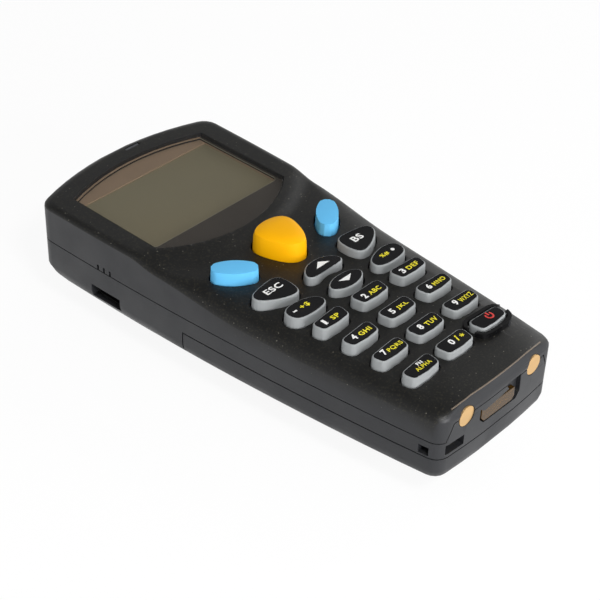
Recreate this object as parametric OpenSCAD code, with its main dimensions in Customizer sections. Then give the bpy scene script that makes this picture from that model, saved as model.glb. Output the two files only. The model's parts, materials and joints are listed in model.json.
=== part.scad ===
// Portable barcode data terminal, lying on its back with the keys up.
// Millimetres. +Y points to the display end, +X to the user's right, +Z up out of the keypad.
// The origin is under the middle of the case, level with the flat under its scan hump.
// A length named "_at" is measured from the tail, the end with the charging contacts.
// A height named "_h" is measured from the line where the battery cover meets the case.

/* [Case outline] */
// Length of the case
body_l = 122; // [119:0.5:126]
// Width of the case at the display
body_w = 56; // [55:0.5:59]
// Width of the case at the tail
tail_w = 38.8; // [38:0.2:41]
// Distance from the tail to the widest place
widest_at = 119; // [112:1:124]
// Radius of the bowed tail end, seen from above
tail_bow_r = 205; // [150:5:260]
// Radius of the bowed display end, seen from above
head_bow_r = 72; // [65:1:85]
// Radius of the tail's upright corners
tail_corner_r = 3.4; // [2.8:0.1:4.2]
// Radius of the display end's upright corners
head_corner_r = 4.2; // [3.4:0.1:5]
// Thickness of the case's side walls
wall = 1.8; // [1.6:0.05:1.9]

/* [Heights] */
// Depth of the scan hump's flat
hump_h = 15; // [14.6:0.1:15.4]
// Depth of the battery cover
cover_h = 8; // [7.8:0.1:8.3]
// Height of the seam between the two halves of the case
seam_h = 4.15; // [4:0.05:4.3]
// Height of the roof of the battery bay
bay_h = 4.7; // [4.6:0.05:4.8]
// Height of the keypad's face
pad_h = 12.6; // [12.4:0.1:12.8]
// Height of the display's face
head_h = 14.2; // [14:0.1:14.6]
// Thickness of the keypad's face
face_t = 1.95; // [1.8:0.05:2.05]
// Width of the dark line along the seam
seam_gap = 0.25; // [0.1:0.05:0.3]

/* [Case shaping] */
// Width of the rounded shoulder beside the keypad
pad_shoulder = 12; // [11:0.5:13]
// Height of that shoulder
pad_drop = 3.4; // [3.1:0.1:3.6]
// Width of the shoulder round the display
head_shoulder = 2; // [1.6:0.1:2.4]
// Height of that shoulder
head_drop = 1; // [0.8:0.1:1.2]
// Width of the slope above the charging contacts
tail_shoulder = 2.2; // [1.8:0.1:2.5]
// Height of that slope
tail_drop = 2.9; // [2.6:0.1:3.1]
// Distance from the tail to the centre of the display's round brow
brow_at = 109; // [107:0.5:111]
// Radius at which the display's face starts to fall to the keypad
brow_top_r = 34.5; // [34:0.5:35.5]
// Radius at which that fall ends
brow_foot_r = 40; // [39:0.5:43]
// How far the keypad's face rises towards the display
rise_h = 0.3; // [0.2:0.05:0.5]

/* [Battery cover] */
// Distance from the tail to the battery cover's front edge
cover_l = 70; // [69:0.5:71]
// Gap along the edges of the battery cover
cover_gap = 0.3; // [0.15:0.05:0.3]
// Thickness of the battery cover's floor
cover_t = 1.5; // [1.3:0.1:1.6]
// Distance from the centre line to the runners that hold the cover
runner_x = 17.6; // [17:0.1:18]

/* [Display] */
// Half the width of the lens
lens_half_w = 21.2; // [21:0.1:21.6]
// Distance from the tail to the middle of the lens's round lower edge
lens_at = 75.6; // [75:0.1:76.5]
// Radius of that lower edge
lens_low_r = 33; // [32:0.5:34]
// Distance from the tail to the middle of the lens's bowed upper edge
lens_end_at = 116.4; // [116:0.1:116.8]
// Radius of that upper edge
lens_high_r = 56; // [52:1:64]
// Thickness of the lens
lens_t = 1; // [0.8:0.1:1.1]
// Width of the ledge that the lens is glued to
lens_ledge = 0.6; // [0.5:0.1:0.8]
// Gap round the lens
lens_gap = 0.2; // [0.1:0.05:0.3]
// Distance from the tail to the lower edge of the glass that shows
glass_at = 84.8; // [84.4:0.1:85.2]
// Distance from the tail to the upper edge of the glass that shows
glass_end_at = 110.2; // [109.6:0.1:110.8]
// Thickness of the glass
glass_t = 1.5; // [1.3:0.1:1.6]

/* [Keys] */
// Height of the tops of ESC, BS, the arrows and the signs
key_h = 14.5; // [14.2:0.1:14.8]
// Height of the two blue keys' tops
side_key_h = 16.5; // [16.2:0.1:16.8]
// Height of the scan key's crown
scan_key_h = 18.1; // [17.8:0.1:18.4]
// How far a key travels
key_travel = 0.8; // [0.6:0.05:0.85]
// Gap between a key and the edge of its hole
key_gap = 0.3; // [0.25:0.05:0.35]
// How far a key's foot stands out past its outline
key_flare = 0.25; // [0.15:0.05:0.3]
// Width of the rim that keeps a key in
key_rim = 0.9; // [0.8:0.05:1]
// Distance from the tail to the row of 1, 2 and 3
row_1_at = 37.3; // [37.1:0.1:37.6]
// Distance from one row of numbers to the next
row_pitch = 7.95; // [7.85:0.05:8.05]
// Distance from the centre line to the outer keys in the row of 1, 2 and 3
column_x = 13.2; // [13:0.1:13.4]
// How much nearer the outer keys come in each row after that
column_step = 0.5; // [0.4:0.05:0.6]
// How much lower the number keys get from one row to the next
row_drop = 0.2; // [0.1:0.05:0.25]
// Width of a number key
key_w = 9.9; // [9.6:0.1:10]
// Length of a number key
key_l = 4.3; // [4.1:0.1:4.5]

/* [Scanner] */
// Width of the scan window
window_w = 34; // [32:0.5:35]
// Height of the scan window
window_l = 8.4; // [7.6:0.2:8.8]
// Lean of the scan window from upright
window_lean = 22; // [20:1:24]
// Length of the scan engine
engine_l = 18; // [16:0.5:18.5]
// Width of the scan engine
engine_w = 24; // [22:0.5:26]

/* [Power and ports] */
// Diameter of a battery cell
cell_d = 10.5; // [10.2:0.1:10.5]
// Length of a battery cell with its button
cell_l = 44.5; // [44:0.1:44.8]
// Distance from the tail to the middle of the battery bay
bay_at = 35; // [34.5:0.1:35.5]
// Radius of a charging contact
contact_r = 2.4; // [2.2:0.05:2.45]
// Distance from the centre line to a charging contact
contact_x = 11.7; // [11.5:0.05:11.9]
// Height of the charging contacts
contact_h = 8.3; // [8.1:0.1:8.5]
// Length of the cable socket in the left side
port_l = 9.6; // [9:0.1:10]
// Height of the cable socket
port_t = 3.5; // [3.2:0.1:3.7]
// Distance from the tail to the middle of the cable socket
port_at = 94.9; // [94.4:0.1:95.4]
// Radius of a screw's shank
screw_r = 0.95; // [0.85:0.05:1]

/* [Hidden] */

$fn = 48;
// Overshoot of a cutting shape
cut = 1;
// Gap between pieces that are pressed or glued together
seat = 0.05;
// Gap between pieces that are put together loosely
fit = 0.1;

case_black = "#1d1d1c";
cover_black = "#242425";
key_grey = "#8d8f92";
key_blue = "#62b8ea";
key_orange = "#ffb400";
gold = "#e6b878";
board_green = "#1f5a3a";
steel = "#b9bcc0";
smoked = "#3a3122";

// The places along the case are drawn for this length, and stretch with the case's own
drawn_l = 122;
stretch = body_l / drawn_l;

// ---------- heights ----------

parting_z = hump_h;
seam_z = parting_z + seam_h;
pad_z = parting_z + pad_h;
head_z = parting_z + head_h;
// The floor beside the battery bay and the deck over it
floor_t = 1.2;
deck_t = 1;
deck_z = parting_z + bay_h + deck_t;
// The board lies over that deck, the domes on the board, the keys over the domes
board_gap = 0.5;
board_t = 1;
board_z = deck_z + board_gap;
board_top = board_z + board_t;
dome_t = 0.3;
pad_ceiling = pad_z - face_t;
rim_top = pad_ceiling - 2 * fit;
rim_t = 0.9;
rim_z = rim_top - rim_t;
plunger_z = board_top + dome_t + key_travel + fit;
// The lens lies in a pocket, over a ledge, over the glass
tape_t = 0.15;
lens_z = head_z - fit - lens_t;
ledge_z = lens_z - tape_t;
ledge_t = 0.4;
head_ceiling = ledge_z - ledge_t;
// Where the inside steps in under the shoulder, and by how much
shoulder_floor = pad_ceiling - 1.15;
step_in = wall + 2.4;

// ---------- plain functions ----------

function mix(a, b, t) = a + (b - a) * t;
function ease(t) = let (c = max(0, min(1, t))) c * c * (3 - 2 * c);
function unit(v) = v / norm(v);
// The model's Y of a place measured from the tail, and the place of a Y
function ahead(u) = (u - drawn_l / 2) * stretch;
function place(y) = y / stretch + drawn_l / 2;
function arc(c, r, a0, a1, n) = [for (i = [0:n]) let (a = mix(a0, a1, i / n)) c + r * [cos(a), sin(a)]];
function flipped(points) = [for (i = [len(points) - 1:-1:0]) [-points[i][0], points[i][1]]];
function placed(points, at) = [for (p = points) p + at];
function laid(points) = [for (p = points) [p[0], ahead(p[1])]];
function lifted(points, z) = [for (p = points) [p[0], ahead(p[1]), z]];

// An outline with round corners, grown by d. The points run anticlockwise.
function soft(points, r, d = 0, n = 3) = let (m = len(points)) [for (i = [0:m - 1])
    let (p = points[i], a = unit(points[(i + m - 1) % m] - p), b = unit(points[(i + 1) % m] - p),
         outer = cross(-a, b) > 0, q = outer ? r : max(r, d + 0.05), half = acos(a * b) / 2,
         c = p + unit(a + b) * q / sin(half), from = p + a * q / tan(half) - c, to = p + b * q / tan(half) - c,
         start = atan2(from[1], from[0]), sweep = atan2(cross(from, to), from * to))
    each arc(c, outer ? q + d : q - d, start, start + sweep, n)];

// A smooth outline drawn by the corners of a polygon, grown by d. The points run anticlockwise.
function corners_cut(p) = [for (i = [0:len(p) - 1]) let (q = p[(i + 1) % len(p)])
    each [mix(p[i], q, 0.25), mix(p[i], q, 0.75)]];
function curved(points, d) = let (p = corners_cut(corners_cut(points)), m = len(p)) [for (i = [0:m - 1])
    let (t = unit(p[(i + 1) % m] - p[(i + m - 1) % m])) p[i] + d * [t[1], -t[0]]];

// A leaf: two long arcs of radius r that meet in round tips, grown by d and turned
function leaf(r, half_w, tip_r, turn, d) =
    let (t = sqrt(pow(r - tip_r, 2) - pow(r - half_w, 2)), a = atan2(r - half_w, t), tip_a = 15,
         side = concat(arc([0, half_w - r], r + d, a, 180 - a, 8),
                       arc([-t, 0], tip_r + d, 180 - a + tip_a, 180 + a - tip_a, 3)))
    [for (p = concat(side, -side)) [p[0] * cos(turn) - p[1] * sin(turn), p[0] * sin(turn) + p[1] * cos(turn)]];

// ---------- the case's outline, from above ----------

side_r = pow(widest_at, 2) / (body_w - tail_w);
function half_w(u) = body_w / 2 - pow(u - widest_at, 2) / (2 * side_r);

bow_steps = 3;
head_steps = 6;
corner_steps = 4;
tail_corner_x = half_w(tail_corner_r) - tail_corner_r;
tail_turn = asin(tail_corner_x / (tail_bow_r - tail_corner_r));
tail_flat = tail_bow_r * (1 - cos(tail_turn / bow_steps));
tail_corner = [tail_corner_x, tail_bow_r - (tail_bow_r - tail_corner_r) * cos(tail_turn) - tail_flat];
side_lean = atan(widest_at / side_r);
head_corner_x = body_w / 2 - head_corner_r;
head_turn = asin(head_corner_x / (head_bow_r - head_corner_r));
head_flat = head_bow_r * (1 - cos(head_turn / head_steps));
head_corner = [head_corner_x,
               drawn_l - head_bow_r + (head_bow_r - head_corner_r) * cos(head_turn) + head_flat];

// Places along the side, closer together where the display's brow meets it
side_places = [11, 19, 28, 37, 44, 50, 55, 60, 64.5, each [68:1.7:90], 94, 99, 104];
half_outline = concat(
    [for (i = [1:bow_steps - 1]) let (a = tail_turn * i / bow_steps)
        [tail_bow_r * sin(a), tail_bow_r * (1 - cos(a)) - tail_flat]],
    arc(tail_corner, tail_corner_r, tail_turn - 90, -side_lean, corner_steps),
    [for (u = side_places) if (u > tail_corner[1] + 2 && u < head_corner[1] - 3) [half_w(u), u]],
    arc(head_corner, head_corner_r, 0, 90 - head_turn, corner_steps),
    [for (i = [head_steps - 1:-1:1]) let (a = head_turn * i / head_steps)
        [head_bow_r * sin(a), drawn_l - head_bow_r * (1 - cos(a)) + head_flat]]);
half_n = len(half_outline);
ring_n = 2 * half_n;

// A point of the outline drawn in by dx at the sides, dt at the tail and dh at the head
function drawn_in(p, dx, dt, dh) = [p[0] * (1 - dx / half_w(p[1])), p[1] + mix(dt, -dh, p[1] / drawn_l)];
function ring(d) = let (h = [for (p = half_outline) drawn_in(p, d, d, d)]) laid(concat(h, flipped(h)));
// A whole ring from a row of points on its right-hand side
function both(h) = concat(h, [for (i = [half_n - 1:-1:0]) [-h[i][0], h[i][1], h[i][2]]]);

// Faces between one ring of n points and the next one above it
function band(k, n) = [for (i = [0:n - 1]) let (a = k * n + i, b = k * n + (i + 1) % n)
    each [[b, a, a + n], [b, a + n, b + n]]];
// Faces between two rows of points that run from left to right, seen from above
function strip(a, b) = let (p = len(a) - 1, q = len(b) - 1)
    p == q ? [for (j = [0:p - 1]) each [[a[j], b[j], b[j + 1]], [a[j], b[j + 1], a[j + 1]]]]
    : p < q ? concat([for (j = [0:q - 1]) [a[0], b[j], b[j + 1]]], [[a[0], b[q], a[1]]])
    : concat([for (j = [0:p - 1]) [a[j], b[0], a[j + 1]]], [[a[p], b[0], b[1]]]);

// A solid skinned over rings of equal length, from the first to the last
module skinned(rings) {
    n = len(rings[0]);
    last = len(rings) - 1;
    polyhedron(points = [for (r = rings) each r], convexity = 6,
               faces = concat([[for (i = [0:n - 1]) i]], [for (k = [0:last - 1]) each band(k, n)],
                              [[for (i = [n - 1:-1:0]) last * n + i]]));
}

// ---------- the front's form ----------

function brow(x, u) = ease((brow_foot_r - norm([x, max(0, brow_at - u)])) / (brow_foot_r - brow_top_r));
function rise(u) = rise_h * ease((u - 42) / 30);
function face_z(x, u) = mix(pad_z + rise(u), head_z, brow(x, u));
// How far the shoulder has changed from the tail's to the keypad's, and on to the display's
function beside_pad(u) = ease(u / 40);
function beside_head(u) = ease((u - 52) / 28);
function shoulder_w(u) = mix(pad_shoulder, head_shoulder, beside_head(u));
function shoulder_drop(u) = mix(mix(tail_drop, pad_drop, beside_pad(u)), head_drop, beside_head(u));

shoulder_steps = 5;
// From 0, a straight slope above the charging contacts, to 1, a round one
tail_round = 0.6;
function shoulder_point(p, k) =
    let (a = 90 * k / shoulder_steps, s = 1 - cos(a), w = shoulder_w(p[1]),
         q = drawn_in(p, w * s, tail_shoulder * mix(sin(a), s, tail_round), head_shoulder * s),
         top = drawn_in(p, w, tail_shoulder, head_shoulder))
    [q[0], ahead(q[1]), face_z(top[0], top[1]) - shoulder_drop(p[1]) * (1 - sin(a))];

brow_columns = 20;
function on_brow(u) = u > brow_at - brow_foot_r - 2 && u < brow_at - 6;

module front_form() {
    foot = both([for (p = half_outline) [p[0], ahead(p[1]), seam_z + seam_gap]]);
    shoulders = [for (k = [0:shoulder_steps]) both([for (p = half_outline) shoulder_point(p, k)])];
    rim = shoulders[shoulder_steps];
    rim_from = (shoulder_steps + 1) * ring_n;
    // Points inside the rim, in rows from left to right, where the face isn't flat
    rows = [for (i = [0:half_n - 1]) let (p = rim[i], u = place(p[1]))
        on_brow(u) ? [for (j = [1:brow_columns - 1]) let (x = p[0] * (2 * j / brow_columns - 1))
            [x, p[1], face_z(x, u)]] : []];
    starts = [for (i = 0, s = rim_from + ring_n; i < half_n; s = s + len(rows[i]), i = i + 1) s];
    across = [for (i = [0:half_n - 1]) concat([rim_from + ring_n - 1 - i],
        [for (j = [0:1:len(rows[i]) - 1]) starts[i] + j], [rim_from + i])];
    polyhedron(convexity = 6,
        points = concat(foot, [for (s = shoulders) each s], [for (r = rows) each r]),
        faces = concat([[for (i = [0:ring_n - 1]) i]],
                       [for (k = [0:shoulder_steps]) each band(k, ring_n)],
                       [for (i = [0:half_n - 2]) each strip(across[i], across[i + 1])]));
}

// ---------- the back's form ----------

function beside_hump(u) = ease((u - 64) / 26);
// From the lowest row up: draw-in beside the batteries and beside the hump, at the tail and
// at the head, then the depth beside the batteries and at the hump as a share of the whole
back_rows = [[14, 12, 9, 13.5, 1, 1], [8, 7.6, 5, 8.6, 0.965, 0.88], [3.2, 4.6, 2.4, 5.6, 0.89, 0.66],
             [1.3, 2, 1, 3.4, 0.78, 0.46], [0.35, 0.5, 0.3, 1.6, 0.63, 0.32], [0, 0, 0, 0, 0.45, 0.2]];
function back_point(p, row) =
    let (t = beside_hump(p[1]), q = drawn_in(p, mix(row[0], row[1], t), row[2], row[3]))
    [q[0], ahead(q[1]), parting_z - mix(row[4] * cover_h, row[5] * hump_h, t)];

module back_form() {
    rings = concat([for (row = back_rows) both([for (p = half_outline) back_point(p, row)])],
                   [both([for (p = half_outline) [p[0], ahead(p[1]), seam_z]])]);
    last = len(rings) - 1;
    polyhedron(convexity = 6, points = [for (r = rings) each r],
        faces = concat([for (a = [0:half_n - 2]) let (b = ring_n - 1 - a) each [[a, a + 1, b], [a + 1, b - 1, b]]],
                       [for (k = [0:last - 1]) each band(k, ring_n)],
                       [[for (i = [ring_n - 1:-1:0]) last * ring_n + i]]));
}

// ---------- plain shapes ----------

// A block between two places across, two along and two heights
module block(x0, x1, u0, u1, z0, z1) {
    translate([x0, ahead(u0), z0]) cube([x1 - x0, (u1 - u0) * stretch, z1 - z0]);
}

// The same block on both sides of the centre line
module block_pair(x0, x1, u0, u1, z0, z1) {
    block(x0, x1, u0, u1, z0, z1);
    block(-x1, -x0, u0, u1, z0, z1);
}

module rod(at, r, z0, z1) {
    translate([at[0], ahead(at[1]), z0]) cylinder(r = r, h = z1 - z0);
}

// A rod that lies along the case
module rod_along(x, z, r, u0, u1) {
    translate([x, ahead(u0), z]) rotate([-90, 0, 0]) cylinder(r = r, h = (u1 - u0) * stretch);
}

// The case's outline drawn in by d
module core(d, z0, z1) {
    translate([0, 0, z0]) linear_extrude(z1 - z0) polygon(ring(d));
}

module slab(points, z0, z1) {
    translate([0, 0, z0]) linear_extrude(z1 - z0) polygon(laid(points));
}

// A shape drawn on the tail, as [across, height], between two depths
module tail_slab(points, u0, u1) {
    translate([0, ahead(u1), parting_z]) rotate([90, 0, 0]) linear_extrude((u1 - u0) * stretch) polygon(points);
}

// ---------- key outlines ----------

number_corner = 1.3;
number_taper = 0.75;
number_bow = 0.35;
outer_drop = 0.7;
// A number key: 0 in the middle column, -1 or 1 in the outer ones, whose outer ends are shorter
function number_points(c) = [[number_taper - key_w / 2, -key_l / 2], [0, -key_l / 2 - number_bow],
    [key_w / 2 - number_taper, -key_l / 2], [key_w / 2, key_l / 2 - (c > 0 ? outer_drop : 0)],
    [-key_w / 2, key_l / 2 - (c < 0 ? outer_drop : 0)]];
function number_at(c, r) = [c * (column_x - column_step * r), row_1_at - row_pitch * r];

// The keys on the right; those on the left are the same turned over
back_at = [14.6, 52.8];
back_points = [[-4.2, -4.6], [0.6, -3.6], [5.4, -0.4], [5.1, 2.5], [0.9, 3.5], [-4.6, 3.9], [-5.4, -0.6]];
point_at = [13.9, 44];
point_points = [[-5.3, -2.2], [0, -3], [4.9, -2.1], [5.2, 2.3], [0.5, 3.2], [-5.2, 1.3]];
side_at = [15.6, 64];
side_turn = 42;
side_arc_r = 11.2;
side_half_w = 2.65;
side_tip_r = 2;
// The keys in the middle
up_at = [0, 51.8];
up_points = [[-4.4, -2.6], [0, -1.2], [4.4, -2.6], [6.2, -0.6], [2.9, 2.7], [-2.9, 2.7], [-6.2, -0.6]];
down_at = [0, 44];
down_points = [[-2.7, -2.35], [2.7, -2.35], [5.8, 0.3], [2.9, 2.8], [-2.9, 2.8], [-5.8, 0.3]];
scan_at = [0.6, 64.7];
scan_half_w = 6.1;
scan_points = [[-2, -6.5], [2, -6.5], [4.6, -2.4], [scan_half_w, 3.4], [3, 6],
               [-3, 6], [-scan_half_w, 3.4], [-4.6, -2.4]];

function back_outline(d) = placed(curved(back_points, d), back_at);
function point_outline(d) = placed(curved(point_points, d), point_at);
function side_outline(d) = placed(leaf(side_arc_r, side_half_w, side_tip_r, side_turn, d), side_at);
function up_outline(d) = placed(curved(up_points, d), up_at);
function down_outline(d) = placed(curved(down_points, d), down_at);
function scan_outline(d) = placed(curved(scan_points, d), scan_at);
function number_outline(c, r, d) = placed(soft(number_points(c), number_corner, d), number_at(c, r));

// Every key's outline grown by d, and every key's middle
function key_outlines(d) = concat(
    [back_outline(d), flipped(back_outline(d)), point_outline(d), flipped(point_outline(d)),
     side_outline(d), flipped(side_outline(d)), up_outline(d), down_outline(d), scan_outline(d)],
    [for (r = [0:3], c = [-1:1]) number_outline(c, r, d)]);
function on_both_sides(p) = [p, [-p[0], p[1]]];
key_middles = concat(on_both_sides(back_at), on_both_sides(point_at), on_both_sides(side_at),
                     [up_at, down_at, scan_at], [for (r = [0:3], c = [-1:1]) number_at(c, r)]);

// ---------- keys ----------

key_draft = 0.25;
key_bevel = 0.2;
plunger_r = 1.4;
rim_mid = rim_z + rim_t / 2;
// How much each outline is grown: under the case's face, at the foot, below the edge and on top
key_steps = [key_rim, key_flare, key_flare - key_draft, key_flare - key_draft - key_bevel];

// The rim under the case's face and the plunger over the dome
module key_foot(outline, middle) {
    slab(outline, rim_z, rim_top);
    rod(middle, plunger_r, plunger_z, rim_mid);
}

// A key from its four outlines, turned over when it is on the left
module key(outlines, middle, h, tint, left = false) {
    o = left ? [for (outline = outlines) flipped(outline)] : outlines;
    color(tint) {
        key_foot(o[0], left ? [-middle[0], middle[1]] : middle);
        skinned([lifted(o[1], rim_mid), lifted(o[2], parting_z + h - key_bevel), lifted(o[3], parting_z + h)]);
    }
}

// The middle of the four rows is as high as the other lettered keys
module number_key(c, r) {
    key([for (d = key_steps) number_outline(c, r, d)], number_at(c, r), key_h + row_drop * (1.5 - r), key_grey);
}

module corner_key(left) {
    key([for (d = key_steps) back_outline(d)], back_at, key_h, key_grey, left);
}

module sign_key(left) {
    key([for (d = key_steps) point_outline(d)], point_at, key_h, key_grey, left);
}

module side_key(left) {
    key([for (d = key_steps) side_outline(d)], side_at, side_key_h, key_blue, left);
}

module key_left() { side_key(true); }
module key_right() { side_key(false); }
module key_esc() { corner_key(true); }
module key_back() { corner_key(false); }
module key_minus() { sign_key(true); }
module key_point() { sign_key(false); }
module key_up() { key([for (d = key_steps) up_outline(d)], up_at, key_h, key_grey); }
module key_down() { key([for (d = key_steps) down_outline(d)], down_at, key_h, key_grey); }
module key_1() { number_key(-1, 0); }
module key_2() { number_key(0, 0); }
module key_3() { number_key(1, 0); }
module key_4() { number_key(-1, 1); }
module key_5() { number_key(0, 1); }
module key_6() { number_key(1, 1); }
module key_7() { number_key(-1, 2); }
module key_8() { number_key(0, 2); }
module key_9() { number_key(1, 2); }
module key_shift() { number_key(-1, 3); }
module key_0() { number_key(0, 3); }
module key_power() { number_key(1, 3); }

crown_steps = 4;
crown_h = 1.3;
crown_draw = 4.8;

// The scan key's top is a low dome over its rounded triangle
module key_scan() {
    edge = curved(scan_points, key_flare - key_draft);
    color(key_orange) {
        key_foot(scan_outline(key_rim), scan_at);
        skinned(concat([lifted(scan_outline(key_flare), rim_mid)],
            [for (k = [0:crown_steps])
                let (a = 90 * k / crown_steps, s = 1 - crown_draw / scan_half_w * (1 - cos(a)))
                lifted(placed(s * edge, scan_at), parting_z + scan_key_h - crown_h * (1 - sin(a)))]));
    }
}

// ---------- screws ----------

// Two at the tail under the battery cover, two beside the keys and two at the head
screw_places = [[15, 8.7], [22, 73.5], [24.6, 112]];
boss_r = 1.9;
screw_head_r = 1.9;
screw_head_t = 1.2;
screw_tip = 8;
screw_sink = 3.4;
// What a screw's head bears on: the floor at the tail, a seat sunk in the hump further on
function screw_seat(i) = parting_z - (i == 0 ? 0 : screw_sink);

module at_screws(i) {
    for (side = [-1, 1]) translate([side * screw_places[i][0], ahead(screw_places[i][1]), 0]) children();
}

// ---------- front of the case ----------

// The lens's outline grown by d
function lens_outline(d) =
    let (low = asin((lens_half_w + d) / (lens_low_r + d)), high = asin((lens_half_w + d) / (lens_high_r + d)))
    concat(arc([0, lens_at + lens_low_r], lens_low_r + d, 270 - low, 270 + low, 12),
           arc([0, lens_end_at - lens_high_r], lens_high_r + d, 90 - high, 90 + high, 10));
// The opening over the glass, straight below with round corners, and bowed above
opening_half_w = lens_half_w - lens_ledge;
opening_corner = 1.3;
function opening_outline(d) =
    let (x = opening_half_w + d, r = lens_high_r - lens_ledge + d, high = asin(x / r), q = opening_corner)
    concat(arc([q - x, glass_at - d + q], q, 180, 270, 4), arc([x - q, glass_at - d + q], q, 270, 360, 4),
           arc([0, lens_end_at - lens_high_r], r, 90 - high, 90 + high, 10));

bezel_half_w = 22.4;
bezel_at = glass_at - 2;
bezel_end = lens_end_at + 0.2;
bezel_room = 0.4;

// The tab of the rear half that rises between the charging contacts, grown by d
tab_h = contact_h + 0.2;
tab_foot = 17.4;
tab_top = 15.5;
function tab_points(d) = [[-tab_foot - d, seam_h - cut], [tab_foot + d, seam_h - cut],
    [tab_foot + d, seam_h + seam_gap], [tab_top + d, tab_h + d], [-tab_top - d, tab_h + d],
    [-tab_foot - d, seam_h + seam_gap]];
// The recess round the infrared window, and the window's pane in it
ir_points = [[-7.1, 4.4], [-5.7, 3], [5.7, 2.7], [7, 4.2], [6.8, 9], [2.2, 9], [1.1, 7.8], [-7.1, 5.9]];
ir_depth = 1.1;
ir_pane = [[-6.6, 4.5], [-5.5, 3.4], [4.6, 3.2], [5.4, 4.2], [5.2, 6.4], [-6.6, 5.6]];
ir_pane_t = 0.6;

vent_places = [93, 95, 97];
vent_w = 0.6;
vent_h = 1.6;
light_x = [2.2, 6.8];
light_at = [119.2, 120.3];
light_z = pad_ceiling - 1;
guard_w = 0.9;
guard_h = 1.2;

// Radius of the pin behind a charging contact
pin_r = 0.8;

// Two ribs that guard the power key from a slip of the thumb
module power_guard() {
    at = number_at(1, 3);
    difference() {
        slab(number_outline(1, 3, key_flare + key_gap + guard_w), pad_ceiling + fit, pad_z + guard_h);
        block(at[0] - key_w, at[0] + key_w, at[1] - key_l / 4, at[1] + key_l / 4, 0, head_z + cut);
    }
}

module front_housing() {
    color(case_black) difference() {
        union() {
            difference() {
                front_form();
                core(wall, parting_z, shoulder_floor);
                core(step_in, parting_z, pad_ceiling);
                intersection() {
                    core(wall + 2 * fit, parting_z, head_ceiling);
                    block(-bezel_half_w - bezel_room, bezel_half_w + bezel_room, bezel_at - bezel_room, drawn_l,
                          0, head_z);
                }
            }
            for (i = [0:2]) at_screws(i) translate([0, 0, parting_z + floor_t + fit])
                cylinder(r = boss_r, h = pad_ceiling + face_t / 2 - parting_z - floor_t);
            power_guard();
        }
        for (i = [0:2]) at_screws(i) translate([0, 0, parting_z])
            cylinder(r = screw_r + seat, h = screw_tip + fit);
        for (outline = key_outlines(key_flare + key_gap)) slab(outline, pad_ceiling - cut, head_z + cut);
        // Room for the keys' rims
        for (outline = key_outlines(key_rim + key_gap)) slab(outline, rim_z - key_travel - fit, pad_ceiling);
        slab(lens_outline(lens_gap), ledge_z, head_z + cut);
        slab(opening_outline(0), parting_z, head_z + cut);
        tail_slab(tab_points(seam_gap), -cut, wall + seam_gap);
        tail_slab(ir_points, -cut, ir_depth);
        for (side = [-1, 1]) {
            rod_along(side * contact_x, parting_z + contact_h, contact_r + fit, -cut, wall + cut);
            rod_along(side * contact_x, parting_z + contact_h, pin_r + fit, wall, step_in + cut);
        }
        for (u = vent_places)
            block(-body_w, wall + cut - half_w(u), u - vent_w / 2, u + vent_w / 2, parting_z, seam_z + vent_h);
        block(light_x[0], light_x[1], light_at[0], light_at[1], light_z - fit, head_z + cut);
    }
}

// ---------- back of the case ----------

bay_gap = 0.3;
bay_half_w = cell_d + bay_gap;
spring_l = 3.4;
plate_t = 0.4;
bay_half_l = (cell_l + spring_l + 2 * plate_t) / 2 + seat;
bay_wall = 1.2;
bay_skirt = 2;
cell_x = (cell_d + bay_gap) / 2;
cell_z = parting_z + bay_h - bay_gap - cell_d / 2;

tongue_t = 0.8;
tongue_h = 1.1;
tray_in = wall + tongue_t;
runner_t = 0.9;
runner_foot = 1.1;
runner_from = 17;
runner_end = cover_l - 3;
runner_h = 2.2;
runner_foot_t = 0.7;

// The hollow of the hump: its depth under the board, then under the scan engine
side_hollow_h = 2.2;
mid_hollow = [20, 76, drawn_l - 8.5, 6.6];
engine_at = 92;
engine_end = engine_at + engine_l;
engine_h = [-9.4, 1.6];
engine_hollow = [16, engine_at - 3, drawn_l - 11, 12.6];
post_r = 1.6;
window_at = drawn_l - 4.1;
window_h = -2.6;
window_t = 1;
window_rim = 1.5;
head_block = [window_w / 2 + 2.5, drawn_l - 9, 2.9];

port_h = -2.9;
port_in = 20.5;
port_wall = 0.8;
strap_x = [-17.5, -11.9];
strap_u = [3.4, 5.9];
strap_wall = 0.8;

// The scan window's own frame: its middle, with +Z out of the window and +Y down it
module window_block(w, l, z0, z1) {
    translate([0, ahead(window_at), parting_z + window_h]) rotate([-90 - window_lean, 0, 0])
        translate([-w / 2, -l / 2, z0]) cube([w, l, z1 - z0]);
}

module rear_hollow() {
    difference() {
        union() {
            core(tray_in, parting_z + floor_t, seam_z + cut);
            intersection() {
                core(tray_in, parting_z - side_hollow_h, seam_z);
                block(-body_w, body_w, cover_l + wall, drawn_l, 0, seam_z);
            }
            for (h = [mid_hollow, engine_hollow]) block(-h[0], h[0], h[1], h[2], parting_z - h[3], seam_z);
        }
        block(-head_block[0], head_block[0], head_block[1], drawn_l + cut, 0, parting_z + head_block[2]);
    }
}

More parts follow.
